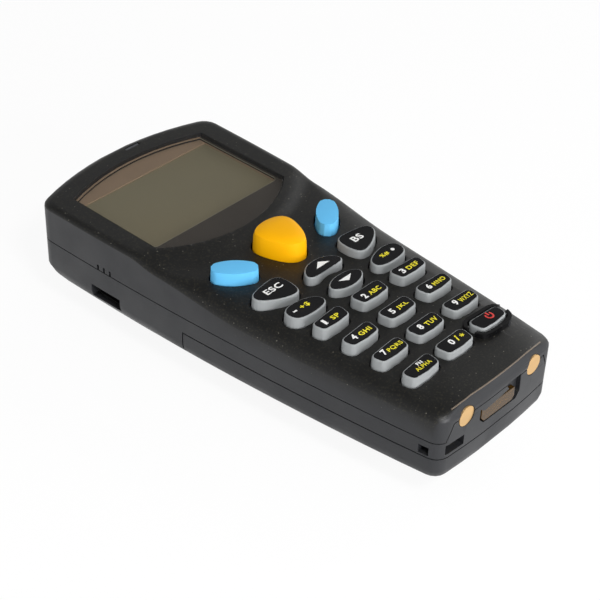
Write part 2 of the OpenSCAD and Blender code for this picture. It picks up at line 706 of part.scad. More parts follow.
// What stands inside the rear half: tongue, tab, battery bay, runners, bosses and posts
module rear_fittings() {
    difference() {
        core(wall + fit, seam_z - cut, seam_z + tongue_h);
        core(tray_in, seam_z - 2 * cut, seam_z + 2 * cut);
    }
    intersection() {
        core(0, parting_z, parting_z + tab_h);
        tail_slab(tab_points(0), -cut, wall);
    }
    block(-bay_half_w - bay_wall, bay_half_w + bay_wall, bay_at - bay_half_l - bay_wall,
          bay_at + bay_half_l + bay_wall, parting_z - bay_skirt, deck_z);
    block_pair(runner_x - runner_t / 2, runner_x + runner_t / 2, runner_from, runner_end,
               parting_z - runner_h, parting_z + fit);
    block_pair(runner_x - runner_t / 2, runner_x + runner_t / 2 + runner_foot, runner_from, runner_end,
               parting_z - runner_h, parting_z - runner_h + runner_foot_t);
    for (i = [1:2]) at_screws(i) translate([0, 0, parting_z - side_hollow_h - fit])
        cylinder(r = boss_r + 0.3, h = side_hollow_h + fit + floor_t);
    // The corner that the wrist strap goes round
    intersection() {
        core(fit, parting_z, seam_z);
        block(-body_w, strap_x[1] + strap_wall, 0, strap_u[1] + strap_wall, parting_z, seam_z);
    }
    for (side = [-1, 1], u = [engine_at + 3, engine_end - 3])
        rod([side * engine_w / 3, u], post_r, parting_z - engine_hollow[3] - cut, parting_z + engine_h[0] - seat);
}

module rear_housing() {
    color(cover_black) difference() {
        union() {
            difference() {
                back_form();
                block(-body_w, body_w, -cut, cover_l, -cut, parting_z);
                rear_hollow();
            }
            rear_fittings();
        }
        block(-bay_half_w, bay_half_w, bay_at - bay_half_l, bay_at + bay_half_l, -cut, parting_z + bay_h);
        for (i = [0:2]) at_screws(i) {
            translate([0, 0, parting_z + floor_t]) cylinder(r = boss_r + fit, h = head_h);
            translate([0, 0, screw_seat(i)]) cylinder(r = screw_r + fit, h = hump_h);
            translate([0, 0, -cut]) cylinder(r = screw_head_r + 0.3, h = screw_seat(i) + cut);
        }
        window_block(window_w + 2 * fit, window_l + 2 * fit, -window_rim - cut, cut);
        window_block(window_w + 2 * window_rim, window_l + 2 * window_rim, -0.4, 30);
        window_block(window_w + 2 * window_rim, window_l + 2 * window_rim, -8, -window_t - 0.6);
        for (side = [-1, 1])
            rod_along(side * contact_x, parting_z + contact_h, contact_r + fit, -cut, wall + cut);
        tail_slab(ir_points, -cut, ir_depth);
        tail_slab(ir_pane, -cut, tray_in + cut);
        block(strap_x[0], strap_x[1], -cut, strap_u[1], parting_z + 0.8, parting_z + 3.4);
        block(-body_w, strap_x[1], strap_u[0], strap_u[1], parting_z + 0.4, parting_z + 2.6);
        block(-body_w, cut - port_in, port_at - port_l / 2, port_at + port_l / 2,
              parting_z + port_h - port_t / 2, parting_z + port_h + port_t / 2);
        block(wall - half_w(port_at), cut - port_in, port_at - port_l / 2 - port_wall - fit,
              port_at + port_l / 2 + port_wall + fit,
              parting_z + port_h - port_t / 2 - port_wall - fit, seam_z - cut);
    }
}

module battery_cover() {
    step_z = parting_z - cover_h + cover_t + 0.6;
    color(cover_black) {
        difference() {
            back_form();
            block(-body_w, body_w, -cut, drawn_l + cut, parting_z - cover_gap, head_z);
            block(-body_w, body_w, cover_l - cover_gap, drawn_l + cut, -cut, head_z);
            core(wall, step_z + 1.3, parting_z);
            core(step_in, step_z, parting_z);
            block(-bay_half_w - bay_wall - bay_gap, bay_half_w + bay_wall + bay_gap, step_in, cover_l,
                  parting_z - cover_h + cover_t, parting_z);
        }
        // Ledges that ride on the runners' feet
        intersection() {
            core(wall - fit, parting_z - runner_h + runner_foot_t + 2 * fit, parting_z - cover_gap);
            block_pair(runner_x + runner_t / 2 + bay_gap, body_w, runner_from - 3, cover_l - cover_gap,
                       0, parting_z);
        }
    }
}

// ---------- display ----------

bezel_t = 0.4;
bezel_top = head_ceiling - fit;
glass_half_w = bezel_half_w - 3 * bezel_t;
glass_top = bezel_top - bezel_t - seat;
glass_z = glass_top - glass_t;
strip_at = glass_end_at + 0.4;
strip_l = 2;

module display_lens() {
    color(smoked) slab(lens_outline(0), lens_z, lens_z + lens_t);
}

module lens_tape() {
    color("black") difference() {
        slab(lens_outline(-seat), ledge_z + seat / 2, lens_z - seat / 2);
        slab(opening_outline(seat), ledge_z - cut, lens_z + cut);
    }
}

module lcd_glass() {
    color("#77735f") block(-glass_half_w, glass_half_w, bezel_at + bezel_t + fit, strip_at + strip_l + bezel_t,
                           glass_z, glass_top);
}

module lcd_bezel() {
    color("#6b5f52") difference() {
        intersection() {
            block(-bezel_half_w, bezel_half_w, bezel_at, bezel_end, board_top + seat, bezel_top);
            core(wall + 5 * fit, 0, head_z);
        }
        block(bezel_t - bezel_half_w, bezel_half_w - bezel_t, bezel_at + bezel_t, bezel_end - bezel_t,
              board_top, bezel_top - bezel_t);
        block(-opening_half_w, opening_half_w, glass_at, glass_end_at, 0, head_z);
    }
}

module backlight() {
    color("#e8e8e0") block(-glass_half_w, glass_half_w, bezel_at + bezel_t + fit, strip_at - fit,
                           board_top + seat, glass_z - seat);
}

connector_half_w = 16;

module lcd_connector() {
    color("#303030") block(-connector_half_w, connector_half_w, strip_at, strip_at + strip_l,
                           board_top + seat, glass_z - seat);
}

// ---------- keypad and board ----------

web_at = [wall + 4, 78];
web_in = step_in + 2 * fit;
web_leg = 1.4;
board_in = wall + 1.6;

module keypad_web() {
    color(key_grey) difference() {
        intersection() {
            union() {
                core(web_in, rim_z, rim_top);
                difference() {
                    core(web_in, board_top + seat, rim_top);
                    core(web_in + web_leg, board_top - cut, rim_top + cut);
                }
            }
            block(-body_w, body_w, web_at[0], web_at[1], 0, head_z);
        }
        for (outline = key_outlines(key_rim + key_gap)) slab(outline, 0, head_z);
        for (i = [0:1]) at_screws(i) cylinder(r = boss_r + key_gap, h = head_z);
    }
}

module key_domes() {
    color(steel) for (m = key_middles) rod(m, 2, board_top + seat, board_top + dome_t);
}

module main_board() {
    color(board_green) difference() {
        core(board_in, board_z, board_top);
        for (i = [0:2]) at_screws(i) cylinder(r = boss_r + key_gap, h = head_z);
    }
}

// Chips under the board: middle, size and thickness
chips = [[[17, 44], [7, 7], 1.2], [[-17, 40], [6, 9], 1], [[-17, 56], [6, 8], 1], [[17, 58], [5, 5], 0.9],
         [[0, 80], [14, 4], 2]];

module board_chips() {
    color("#202020") for (c = chips)
        block(c[0][0] - c[1][0] / 2, c[0][0] + c[1][0] / 2, c[0][1] - c[1][1] / 2, c[0][1] + c[1][1] / 2,
              board_z - seat - c[2], board_z - seat);
}

backup_at = [0, 69];
backup_r = 6;
backup_t = 2.1;

module backup_cell() {
    color(steel) rod(backup_at, backup_r, board_z - seat - backup_t, board_z - seat);
}

buzzer_at = [-16.5, 95];
buzzer_r = 5;
buzzer_t = 3.2;

module buzzer() {
    color("#151515") difference() {
        rod(buzzer_at, buzzer_r, board_z - seat - buzzer_t, board_z - seat);
        rod(buzzer_at, buzzer_r / 5, 0, board_z - buzzer_t / 2);
    }
}

// A light guide from the board to the slot in the front's upper edge
module status_light() {
    foot_at = light_at[0] - 1.7;
    color("#e9ece6") {
        block(light_x[0] + fit, light_x[1] - fit, light_at[0] + fit, light_at[1] - fit, light_z, head_z - 0.25);
        block(light_x[0] + fit, light_x[1] - fit, foot_at, light_at[1] - fit, light_z, light_z + 0.9);
        block(light_x[0] + fit, light_x[1] - fit, foot_at, foot_at + 1, board_top + seat, light_z + 0.9);
    }
}

// ---------- scanner ----------

eye_z = parting_z - 3.4;
eye_r = 3;
lamp_r = 1;
lamp_places = [-8.5, -6, 6, 8.5];
lamp_l = 1.5;

module scan_engine() {
    color("#2a2c30") difference() {
        block(-engine_w / 2, engine_w / 2, engine_at, engine_end, parting_z + engine_h[0], parting_z + engine_h[1]);
        rod_along(0, eye_z, eye_r, engine_end - 3, engine_end + cut);
        for (x = lamp_places) rod_along(x, eye_z, lamp_r, engine_end - lamp_l, engine_end + cut);
    }
}

module scan_lens() {
    color("#30343a") difference() {
        rod_along(0, eye_z, eye_r - seat, engine_end - 3 + seat, engine_end + 1);
        rod_along(0, eye_z, eye_r / 2, engine_end, engine_end + 1 + cut);
    }
}

module scan_leds() {
    color("#b3202a") for (x = lamp_places)
        rod_along(x, eye_z, lamp_r - seat, engine_end - lamp_l + seat, engine_end + 0.5);
}

module scan_window() {
    color("#5a1218") window_block(window_w, window_l, -0.5 - window_t, -0.5);
}

// ---------- power and ports ----------

module ir_window() {
    color(smoked) intersection() {
        tail_slab([for (p = ir_pane) p + [p[0] < 0 ? seat : -seat, p[1] < 4.3 ? seat : -seat]],
                  ir_depth - ir_pane_t, ir_depth + ir_pane_t);
        core(0, 0, head_z);
    }
}

transceiver = [8.4, 3.8, 3.6];

module ir_transceiver() {
    color("#1a1416") block(-transceiver[0] / 2, transceiver[0] / 2, tray_in + seat, tray_in + transceiver[1],
                           board_z - seat - transceiver[2], board_z - seat);
}

contact_face = 0.35;
pin_end = wall + 4;

module charge_contacts() {
    z = parting_z + contact_h;
    color(gold) for (side = [-1, 1]) {
        rod_along(side * contact_x, z, contact_r, contact_face, wall + 0.9);
        rod_along(side * contact_x, z, pin_r, wall + 0.8, pin_end);
        block(side * contact_x - pin_r / 2, side * contact_x + pin_r / 2, pin_end - 1, pin_end,
              board_top + seat, z);
    }
}

// Conical springs that stand on the bay's end plates and narrow towards the cells
spring_turns = 3;
spring_steps = 10;
spring_sides = 6;
spring_wire = 0.3;
spring_r = [3.6, 1.8];
function spring_ring(x, u, dir, k) =
    let (t = k / (spring_turns * spring_steps), a = 360 * k / spring_steps, r = mix(spring_r[0], spring_r[1], t),
         reach = mix(spring_wire + seat, spring_l - spring_wire - seat, t))
    [for (j = [0:spring_sides - 1]) let (b = 360 * j / spring_sides, q = r + spring_wire * cos(b))
        [x + q * cos(a), ahead(u + dir * reach) + spring_wire * sin(b), cell_z + q * sin(a)]];

module spring(x, u, dir) {
    skinned([for (k = [0:spring_turns * spring_steps]) spring_ring(x, u, dir, k)]);
}

bay_tail = bay_at - bay_half_l + plate_t;
bay_head = bay_at + bay_half_l - plate_t;

module battery_springs() {
    color(steel) {
        spring(-cell_x, bay_tail, 1);
        spring(cell_x, bay_head, -1);
    }
}

module battery_plates() {
    half = 4.2;
    color(steel) for (x = [-cell_x, cell_x]) {
        block(x - half, x + half, bay_tail - plate_t + seat, bay_tail, cell_z - half, cell_z + half);
        block(x - half, x + half, bay_head, bay_head + plate_t - seat, cell_z - half, cell_z + half);
    }
}

button_l = 1;
button_r = 1.9;

// A cell with its flat end against a spring and its button against a plate
module cell(x, spring_at_tail) {
    from = spring_at_tail ? bay_tail + spring_l : bay_tail + button_l + seat;
    barrel = cell_l - button_l;
    color("#3f6f4f") {
        rod_along(x, cell_z, cell_d / 2, from, from + barrel);
        if (spring_at_tail) rod_along(x, cell_z, button_r, from + barrel - cut, from + cell_l);
        else rod_along(x, cell_z, button_r, from - button_l, from + cut);
    }
}

module cell_left() { cell(-cell_x, true); }
module cell_right() { cell(cell_x, false); }

module cable_socket() {
    color("#111111") difference() {
        block(wall + fit - half_w(port_at), -port_in,
              port_at - port_l / 2 - port_wall, port_at + port_l / 2 + port_wall,
              parting_z + port_h - port_t / 2 - port_wall, parting_z + port_h + port_t / 2 + port_wall);
        block(-body_w, -port_in - 1.2, port_at - port_l / 2 + 0.5, port_at + port_l / 2 - 0.5,
              parting_z + port_h - port_t / 2 + 0.4, parting_z + port_h + port_t / 2 - 0.4);
    }
}

module housing_screws() {
    color(steel) for (i = [0:2]) at_screws(i) translate([0, 0, screw_seat(i) - screw_head_t - seat]) {
        cylinder(r = screw_head_r, h = screw_head_t);
        cylinder(r = screw_r, h = parting_z + screw_tip - screw_seat(i) + screw_head_t);
    }
}

front_housing();
rear_housing();
battery_cover();
display_lens();
lens_tape();
lcd_glass();
lcd_bezel();
backlight();
lcd_connector();
keypad_web();
key_scan();
key_left();
key_right();
key_esc();
key_back();
key_up();
key_down();
key_minus();
key_point();
key_1();
key_2();
key_3();
key_4();
key_5();
key_6();
key_7();
key_8();
key_9();
key_shift();
key_0();
key_power();
key_domes();
main_board();
board_chips();
backup_cell();
buzzer();
status_light();
scan_engine();
scan_lens();
scan_leds();
scan_window();
ir_window();
ir_transceiver();
charge_contacts();
battery_springs();
battery_plates();
cell_left();
cell_right();
cable_socket();
housing_screws();
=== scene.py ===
"""Dresses a portable barcode data terminal: its moulded case, rubber keys, display, ports and stage."""

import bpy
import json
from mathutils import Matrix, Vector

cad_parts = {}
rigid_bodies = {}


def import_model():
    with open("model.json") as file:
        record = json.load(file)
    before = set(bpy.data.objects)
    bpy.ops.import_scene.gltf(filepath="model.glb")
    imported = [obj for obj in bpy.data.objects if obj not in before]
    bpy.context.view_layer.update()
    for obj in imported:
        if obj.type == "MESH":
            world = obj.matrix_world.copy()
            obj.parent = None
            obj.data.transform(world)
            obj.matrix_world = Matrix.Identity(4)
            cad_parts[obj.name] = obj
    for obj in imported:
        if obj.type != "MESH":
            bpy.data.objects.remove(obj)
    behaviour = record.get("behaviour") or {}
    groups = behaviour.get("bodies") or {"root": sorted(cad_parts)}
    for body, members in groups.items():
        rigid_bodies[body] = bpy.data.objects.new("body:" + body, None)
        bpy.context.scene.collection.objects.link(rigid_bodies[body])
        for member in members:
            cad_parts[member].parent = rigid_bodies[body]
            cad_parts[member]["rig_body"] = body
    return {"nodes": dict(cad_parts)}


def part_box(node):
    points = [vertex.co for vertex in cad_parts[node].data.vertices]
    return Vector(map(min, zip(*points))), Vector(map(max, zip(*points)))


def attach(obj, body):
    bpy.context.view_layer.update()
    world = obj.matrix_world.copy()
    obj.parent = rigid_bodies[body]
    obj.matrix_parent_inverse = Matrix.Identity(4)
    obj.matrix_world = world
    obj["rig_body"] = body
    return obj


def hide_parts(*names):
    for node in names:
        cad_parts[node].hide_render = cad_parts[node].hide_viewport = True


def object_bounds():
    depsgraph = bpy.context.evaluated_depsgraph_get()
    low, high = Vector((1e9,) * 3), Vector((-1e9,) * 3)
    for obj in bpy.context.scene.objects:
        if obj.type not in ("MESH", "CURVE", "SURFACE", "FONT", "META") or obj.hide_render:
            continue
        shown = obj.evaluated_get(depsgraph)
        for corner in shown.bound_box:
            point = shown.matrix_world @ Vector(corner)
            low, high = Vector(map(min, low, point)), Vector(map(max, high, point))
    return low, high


bl_info = {
    "name": "Data Terminal Finish",
    "version": (1, 0, 0),
    "blender": (4, 5, 0),
    "location": "View3D > Sidebar > Terminal",
    "description": "Gives a handheld data terminal its rounded edges, printed keys, finishes and studio",
    "category": "Object",
}

import json
import math

import bpy
from mathutils import Matrix, Vector

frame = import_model()
CAD_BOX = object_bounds()
MM = 0.001


def linear(code):
    """Turn an sRGB hex colour into linear red, green and blue."""
    parts = [int(code[i:i + 2], 16) / 255 for i in (1, 3, 5)]
    return tuple(p / 12.92 if p <= 0.04045 else ((p + 0.055) / 1.055) ** 2.4 for p in parts)


# ---------------------------------------------------------------- settings

def colour_property(name, description, code):
    return bpy.props.FloatVectorProperty(name=name, description=description, default=linear(code),
                                         subtype="COLOR", size=3, min=0, max=1)


def length_property(name, description, millimetres):
    return bpy.props.FloatProperty(name=name, description=description, default=millimetres * MM,
                                   unit="LENGTH", precision=5, min=0)


class TerminalSizes(bpy.types.PropertyGroup):
    case_edge: length_property("Case edge", "Radius along the case's seams and cut-outs", 0.22)
    key_edge: length_property("Key edge", "Radius along the lettered keys' top edges", 0.1)
    soft_edge: length_property("Soft edge", "Radius along the blue and orange keys' tops", 0.8)
    plate_rim: length_property("Plate rim", "Grey rim left round each key's black plate", 0.1)
    plate_rise: length_property("Plate rise", "How far a key's black plate stands up", 0.06)
    ink_rise: length_property("Ink rise", "How thick the printed legends are", 0.03)
    digit_height: length_property("Digit height", "Height of the white digits on the keys", 1.75)
    letter_height: length_property("Letter height", "Height of the yellow letters on the keys", 1.3)


class TerminalColours(bpy.types.PropertyGroup):
    case_top: colour_property("Case top", "Black of the keypad's face", "#0d0d0c")
    case_wall: colour_property("Case walls", "Black of the case's walls", "#232427")
    key_grey: colour_property("Grey keys", "Silicone of the lettered keys", "#999c9d")
    key_blue: colour_property("Blue keys", "Silicone of the two side keys", "#68c0f2")
    key_orange: colour_property("Orange key", "Silicone of the scan key", "#ffb400")
    white_ink: colour_property("White ink", "Ink of the digits and arrows", "#f4f4f2")
    yellow_ink: colour_property("Yellow ink", "Ink of the letters", "#f0e22c")
    red_ink: colour_property("Red ink", "Ink of the power sign", "#d83a35")
    display: colour_property("Display", "Surface of the liquid crystal display", "#9c967d")


def sizes():
    return bpy.context.scene.terminal_sizes


def colours():
    return bpy.context.scene.terminal_colours


# ---------------------------------------------------------------- materials

def add_node(tree, kind, inputs=(), **settings):
    """Add one node, set its properties, and fill or link its inputs."""
    made = tree.nodes.new(kind)
    for name, value in settings.items():
        setattr(made, name, value)
    for name, value in dict(inputs).items():
        if isinstance(value, bpy.types.NodeSocket):
            tree.links.new(value, made.inputs[name])
        elif isinstance(value, tuple) and len(value) == 3 and made.inputs[name].type == "RGBA":
            made.inputs[name].default_value = (*value, 1)
        else:
            made.inputs[name].default_value = value
    return made


def new_material(name):
    """A fresh material with a Principled shader, and the Object coordinates that its patterns follow."""
    material = bpy.data.materials.new(name)
    material.use_nodes = True
    tree = material.node_tree
    shader = tree.nodes["Principled BSDF"]
    coords = add_node(tree, "ShaderNodeTexCoord")
    return material, tree, shader, coords


def fill(shader, **values):
    """Set the shader's own sockets, whose names are given with underscores."""
    for name, value in values.items():
        socket = shader.inputs[name.replace("_", " ")]
        socket.default_value = (*value, 1) if isinstance(value, tuple) and len(value) == 3 else value


def grain(tree, shader, where, pitch, depth, roughness, spread=0.08):
    """A fine bump of the given pitch and depth, with the roughness varying a little over the surface."""
    bumps = add_node(tree, "ShaderNodeTexNoise", {"Vector": where, "Scale": 1 / pitch, "Detail": 3.0,
                                                  "Roughness": 0.6})
    bump = add_node(tree, "ShaderNodeBump", {"Height": bumps.outputs["Fac"], "Distance": depth,
                                             "Strength": 1.0})
    tree.links.new(bump.outputs["Normal"], shader.inputs["Normal"])
    patches = add_node(tree, "ShaderNodeTexNoise", {"Vector": where, "Scale": 1 / (9 * MM), "Detail": 4.0})
    rough = add_node(tree, "ShaderNodeMapRange", {"Value": patches.outputs["Fac"], "From Min": 0.3,
                                                  "From Max": 0.7, "To Min": roughness - spread,
                                                  "To Max": roughness + spread})
    tree.links.new(rough.outputs["Result"], shader.inputs["Roughness"])
    return patches


def varied(tree, patches, colour, change=0.12):
    """The base colour, drifting a little lighter and darker over the surface."""
    light = tuple(min(1, c * (1 + change)) for c in colour)
    dark = tuple(c * (1 - change) for c in colour)
    mix = add_node(tree, "ShaderNodeMix", {"Factor": patches.outputs["Fac"], "A": dark, "B": light},
                   data_type="RGBA")
    return mix.outputs["Result"]


def moulded_abs(name, top, wall):
    """Injection-moulded ABS with a spark-eroded grain, near black where it faces up. The walls are painted
    greyer than the face, as painted light and shade by which way the surface faces. Fine dust sits on top."""
    material, tree, shader, coords = new_material(name)
    where = coords.outputs["Object"]
    patches = grain(tree, shader, where, 0.35 * MM, 0.012 * MM, 0.46)
    facing = add_node(tree, "ShaderNodeSeparateXYZ", {"Vector": coords.outputs["Normal"]})
    rising = add_node(tree, "ShaderNodeMapRange", {"Value": facing.outputs["Z"], "From Min": 0.02,
                                                   "From Max": 0.15}, interpolation_type="SMOOTHSTEP")
    # The slope over the charging contacts is painted in the walls' lighter shade as well
    not_tail = add_node(tree, "ShaderNodeMapRange", {"Value": facing.outputs["Y"], "From Min": -0.7,
                                                     "From Max": -0.45}, interpolation_type="SMOOTHSTEP")
    upward = add_node(tree, "ShaderNodeMath", {0: rising.outputs["Result"],
                                               1: not_tail.outputs["Result"]}, operation="MULTIPLY")
    # Painted light and shade: the walls' colour where the surface faces sideways, the face's where it faces
    # up
    base = add_node(tree, "ShaderNodeMix", {"Factor": upward.outputs["Value"],
                                            "A": varied(tree, patches, wall),
                                            "B": varied(tree, patches, top)}, data_type="RGBA")
    # Dust: a speck where the surface cuts close to one of the pattern's points, 1.6 mm apart
    cells = add_node(tree, "ShaderNodeTexVoronoi", {"Vector": where, "Scale": 1 / (1.6 * MM)})
    speck = add_node(tree, "ShaderNodeMapRange", {"Value": cells.outputs["Distance"], "From Min": 0.05,
                                                  "From Max": 0.09, "To Min": 0.5, "To Max": 0.0})
    on_top = add_node(tree, "ShaderNodeMath", {0: speck.outputs["Result"], 1: upward.outputs["Value"]},
                      operation="MULTIPLY")
    # Brownish mottling of the worn grain, half a millimetre across, which is as coarse as it needs to show
    flecks = add_node(tree, "ShaderNodeTexNoise", {"Vector": where, "Scale": 1 / (0.5 * MM), "Detail": 2.0})
    worn = add_node(tree, "ShaderNodeMapRange", {"Value": flecks.outputs["Fac"], "From Min": 0.52,
                                                 "From Max": 0.72, "To Max": 0.45})
    worn_top = add_node(tree, "ShaderNodeMath", {0: worn.outputs["Result"], 1: upward.outputs["Value"]},
                        operation="MULTIPLY")
    mottled = add_node(tree, "ShaderNodeMix", {"Factor": worn_top.outputs["Value"],
                                               "A": base.outputs["Result"], "B": linear("#38352a")},
                       data_type="RGBA")
    dusty = add_node(tree, "ShaderNodeMix", {"Factor": on_top.outputs["Value"],
                                             "A": mottled.outputs["Result"], "B": linear("#a09c90")},
                     data_type="RGBA")
    tree.links.new(dusty.outputs["Result"], shader.inputs["Base Color"])
    fill(shader, IOR=1.52, Specular_IOR_Level=0.4)
    return material


def plain_moulding(name, code, roughness=0.45, pitch=0.5 * MM, depth=0.01 * MM, ior=1.5):
    """A moulded plastic or rubber part: an even colour with a fine tool grain."""
    material, tree, shader, coords = new_material(name)
    colour = linear(code) if isinstance(code, str) else tuple(code)
    patches = grain(tree, shader, coords.outputs["Object"], pitch, depth, roughness)
    tree.links.new(varied(tree, patches, colour, 0.06), shader.inputs["Base Color"])
    fill(shader, IOR=ior)
    return material


def silicone(name, colour):
    """Compression-moulded silicone rubber: a soft, even colour with a dull sheen at the edges."""
    material = plain_moulding(name, colour, roughness=0.55, pitch=0.25 * MM, depth=0.006 * MM, ior=1.41)
    shader = material.node_tree.nodes["Principled BSDF"]
    fill(shader, Specular_IOR_Level=0.2)
    return material


def printed_ink(name, colour):
    """Screen-printed ink: opaque, with a faint orange-peel skin."""
    return plain_moulding(name, colour, roughness=0.4, pitch=0.3 * MM, depth=0.002 * MM)


def clear_acrylic(name):
    """Polished acrylic: nearly all that shows is what lies under it, with a thin gloss on top."""
    material, tree, shader, coords = new_material(name)
    grain(tree, shader, coords.outputs["Object"], 6 * MM, 0.004 * MM, 0.08, 0.03)
    fill(shader, Base_Color=linear("#26231d"), IOR=1.49, Alpha=0.2, Specular_IOR_Level=0.9)
    return material


def tinted_window(name, code, alpha, gloss=0.5):
    """Moulded polycarbonate, dyed through so that only red or infrared light passes freely."""
    material, tree, shader, coords = new_material(name)
    patches = grain(tree, shader, coords.outputs["Object"], 4 * MM, 0.006 * MM, 0.15, 0.05)
    tree.links.new(varied(tree, patches, linear(code), 0.1), shader.inputs["Base Color"])
    fill(shader, IOR=1.58, Alpha=alpha, Specular_IOR_Level=gloss)
    return material


def polariser(name, colour):
    """The satin polariser film on the liquid crystal glass, greenish grey while it is off."""
    material, tree, shader, coords = new_material(name)
    patches = grain(tree, shader, coords.outputs["Object"], 0.2 * MM, 0.003 * MM, 0.5)
    cloud = add_node(tree, "ShaderNodeTexNoise", {"Vector": coords.outputs["Object"],
                                                  "Scale": 1 / (30 * MM), "Detail": 2.0})
    warm = tuple(c * f for c, f in zip(colour, (1.08, 1.0, 0.88)))
    mix = add_node(tree, "ShaderNodeMix", {"Factor": cloud.outputs["Fac"], "A": warm,
                                           "B": varied(tree, patches, tuple(colour), 0.05)},
                   data_type="RGBA")
    tree.links.new(mix.outputs["Result"], shader.inputs["Base Color"])
    fill(shader, IOR=1.5)
    return material


def plated_metal(name, code, roughness, scratch=0.6 * MM):
    """Sheet or turned metal with a thin plating, and fine handling marks along one way."""
    material, tree, shader, coords = new_material(name)
    stretched = add_node(tree, "ShaderNodeMapping", {"Vector": coords.outputs["Object"],
                                                     "Scale": (1, 12, 12)})
    patches = grain(tree, shader, stretched.outputs["Vector"], scratch, 0.004 * MM, roughness)
    tree.links.new(varied(tree, patches, linear(code), 0.1), shader.inputs["Base Color"])
    fill(shader, Metallic=1.0)
    return material


def circuit_board(name):
    """Glass-filled board under green resist, with the copper tracks faintly raised below it."""
    material, tree, shader, coords = new_material(name)
    tracks = add_node(tree, "ShaderNodeTexBrick",
                      {"Vector": coords.outputs["Object"], "Scale": 1 / (3 * MM), "Mortar Size": 0.05,
                       "Color1": linear("#1f5a3a"), "Color2": linear("#225f3f"), "Mortar": linear("#2f7a50")})
    tree.links.new(tracks.outputs["Color"], shader.inputs["Base Color"])
    grain(tree, shader, coords.outputs["Object"], 0.4 * MM, 0.005 * MM, 0.35)
    return material


def cell_sleeve(name):
    """The printed film round a battery cell: plain gold, and green at the end towards the display."""
    material, tree, shader, coords = new_material(name)
    along = add_node(tree, "ShaderNodeSeparateXYZ", {"Vector": coords.outputs["Object"]})
    band = add_node(tree, "ShaderNodeMapRange", {"Value": along.outputs["Y"], "From Min": -14.2 * MM,
                                                 "From Max": -13.8 * MM})
    mix = add_node(tree, "ShaderNodeMix", {"Factor": band.outputs["Result"], "A": linear("#b98d3a"),
                                           "B": linear("#2f6b45")}, data_type="RGBA")
    tree.links.new(mix.outputs["Result"], shader.inputs["Base Color"])
    grain(tree, shader, coords.outputs["Object"], 1.5 * MM, 0.004 * MM, 0.3)
    fill(shader, Metallic=0.4)
    return material


# ---------------------------------------------------------------- modelling helpers

# Points of a CAD node's loose triangles that lie closer than this are one point
MERGE_DISTANCE = 0.002 * MM
# Heights that differ by less than this are one height
SLACK = 0.01 * MM
# A face lies level when its normal's z is over the first value, and stands upright when it is under the other
LEVEL, UPRIGHT = 0.99, 0.1


def deselect():
    if bpy.context.object and bpy.context.object.mode != "OBJECT":
        bpy.ops.object.mode_set(mode="OBJECT")
    bpy.ops.object.select_all(action="DESELECT")


def only(obj):
    """Make obj the active object and the whole selection."""
    deselect()
    obj.select_set(True)
    bpy.context.view_layer.objects.active = obj


def copy_of(node, name):
    """A copy of a CAD node under its own name, with its loose triangles joined up."""
    made = bpy.data.objects.new(name, frame["nodes"][node].data.copy())
    bpy.context.scene.collection.objects.link(made)
    only(made)
    bpy.ops.object.mode_set(mode="EDIT")
    bpy.ops.mesh.select_all(action="SELECT")
    bpy.ops.mesh.remove_doubles(threshold=MERGE_DISTANCE)
    bpy.ops.object.mode_set(mode="OBJECT")
    return made


def round_edges(obj, radius, sharp, smooth, segments=2, hold="FACE_AREA"):
    """Bevel every edge that turns by more than sharp, then shade smooth across turns under smooth.

    The normals hold to the faces with the largest area, or with the widest corners.
    """
    only(obj)
    bevel = obj.modifiers.new("rounded", "BEVEL")
    bevel.width = radius
    bevel.segments = segments
    bevel.limit_method = "ANGLE"
    bevel.angle_limit = math.radians(sharp)
    bevel.use_clamp_overlap = True
    bpy.ops.object.modifier_apply(modifier=bevel.name)
    bpy.ops.object.shade_smooth_by_angle(angle=math.radians(smooth))
    weighted = obj.modifiers.new("weighted", "WEIGHTED_NORMAL")
    weighted.keep_sharp = True
    weighted.mode = hold
    bpy.ops.object.modifier_apply(modifier=weighted.name)


def select_faces(obj, wanted):
    """In edit mode, select the faces for which wanted(face) is true."""
    bpy.ops.object.mode_set(mode="OBJECT")
    for part in (obj.data.vertices, obj.data.edges, obj.data.polygons):
        for item in part:
            item.select = False
    for face in obj.data.polygons:
        face.select = wanted(face)
    bpy.ops.object.mode_set(mode="EDIT")
    bpy.ops.mesh.select_mode(type="FACE")


def keep_selected_faces():
    """In edit mode, delete every face that isn't selected."""
    bpy.ops.mesh.select_all(action="INVERT")
    bpy.ops.mesh.delete(type="FACE")


def extrude_up(height):
    """From edit mode, raise the selected faces on walls of their own and turn all faces outwards."""
    bpy.ops.mesh.extrude_region_move(TRANSFORM_OT_translate={"value": (0, 0, height)})
    bpy.ops.mesh.select_all(action="SELECT")
    bpy.ops.mesh.normals_make_consistent(inside=False)
    bpy.ops.object.mode_set(mode="OBJECT")


def select_points(obj, wanted):
    """In edit mode, select the points for which wanted(place) is true."""
    only(obj)
    for part in (obj.data.edges, obj.data.polygons):
        for item in part:
            item.select = False
    for vertex in obj.data.vertices:
        vertex.select = wanted(vertex.co)
    bpy.ops.object.mode_set(mode="EDIT")
    bpy.ops.mesh.select_mode(type="VERT")


def delete_points(obj, wanted):
    """Delete the points for which wanted(place) is true."""
    select_points(obj, wanted)
    bpy.ops.mesh.delete(type="VERT")
    bpy.ops.object.mode_set(mode="OBJECT")


def shift_points(obj, wanted, shift):
    """Move the points for which wanted(place) is true."""
    select_points(obj, wanted)
    bpy.ops.transform.translate(value=shift)
    bpy.ops.object.mode_set(mode="OBJECT")


def make_wire(thickness):
    """Turn the active outline into a round wire of the given radius, and return the new object."""
    bpy.ops.object.convert(target="CURVE")
    bpy.context.object.data.bevel_depth = thickness
    bpy.ops.object.convert(target="MESH")
    return bpy.context.object


def apply_place(obj):
    """Put an object's place into its mesh."""
    only(obj)
    bpy.ops.object.transform_apply(location=True, rotation=True, scale=True)


def paint(obj, material):
    obj.data.materials.clear()
    obj.data.materials.append(material)
    for face in obj.data.polygons:
        face.material_index = 0


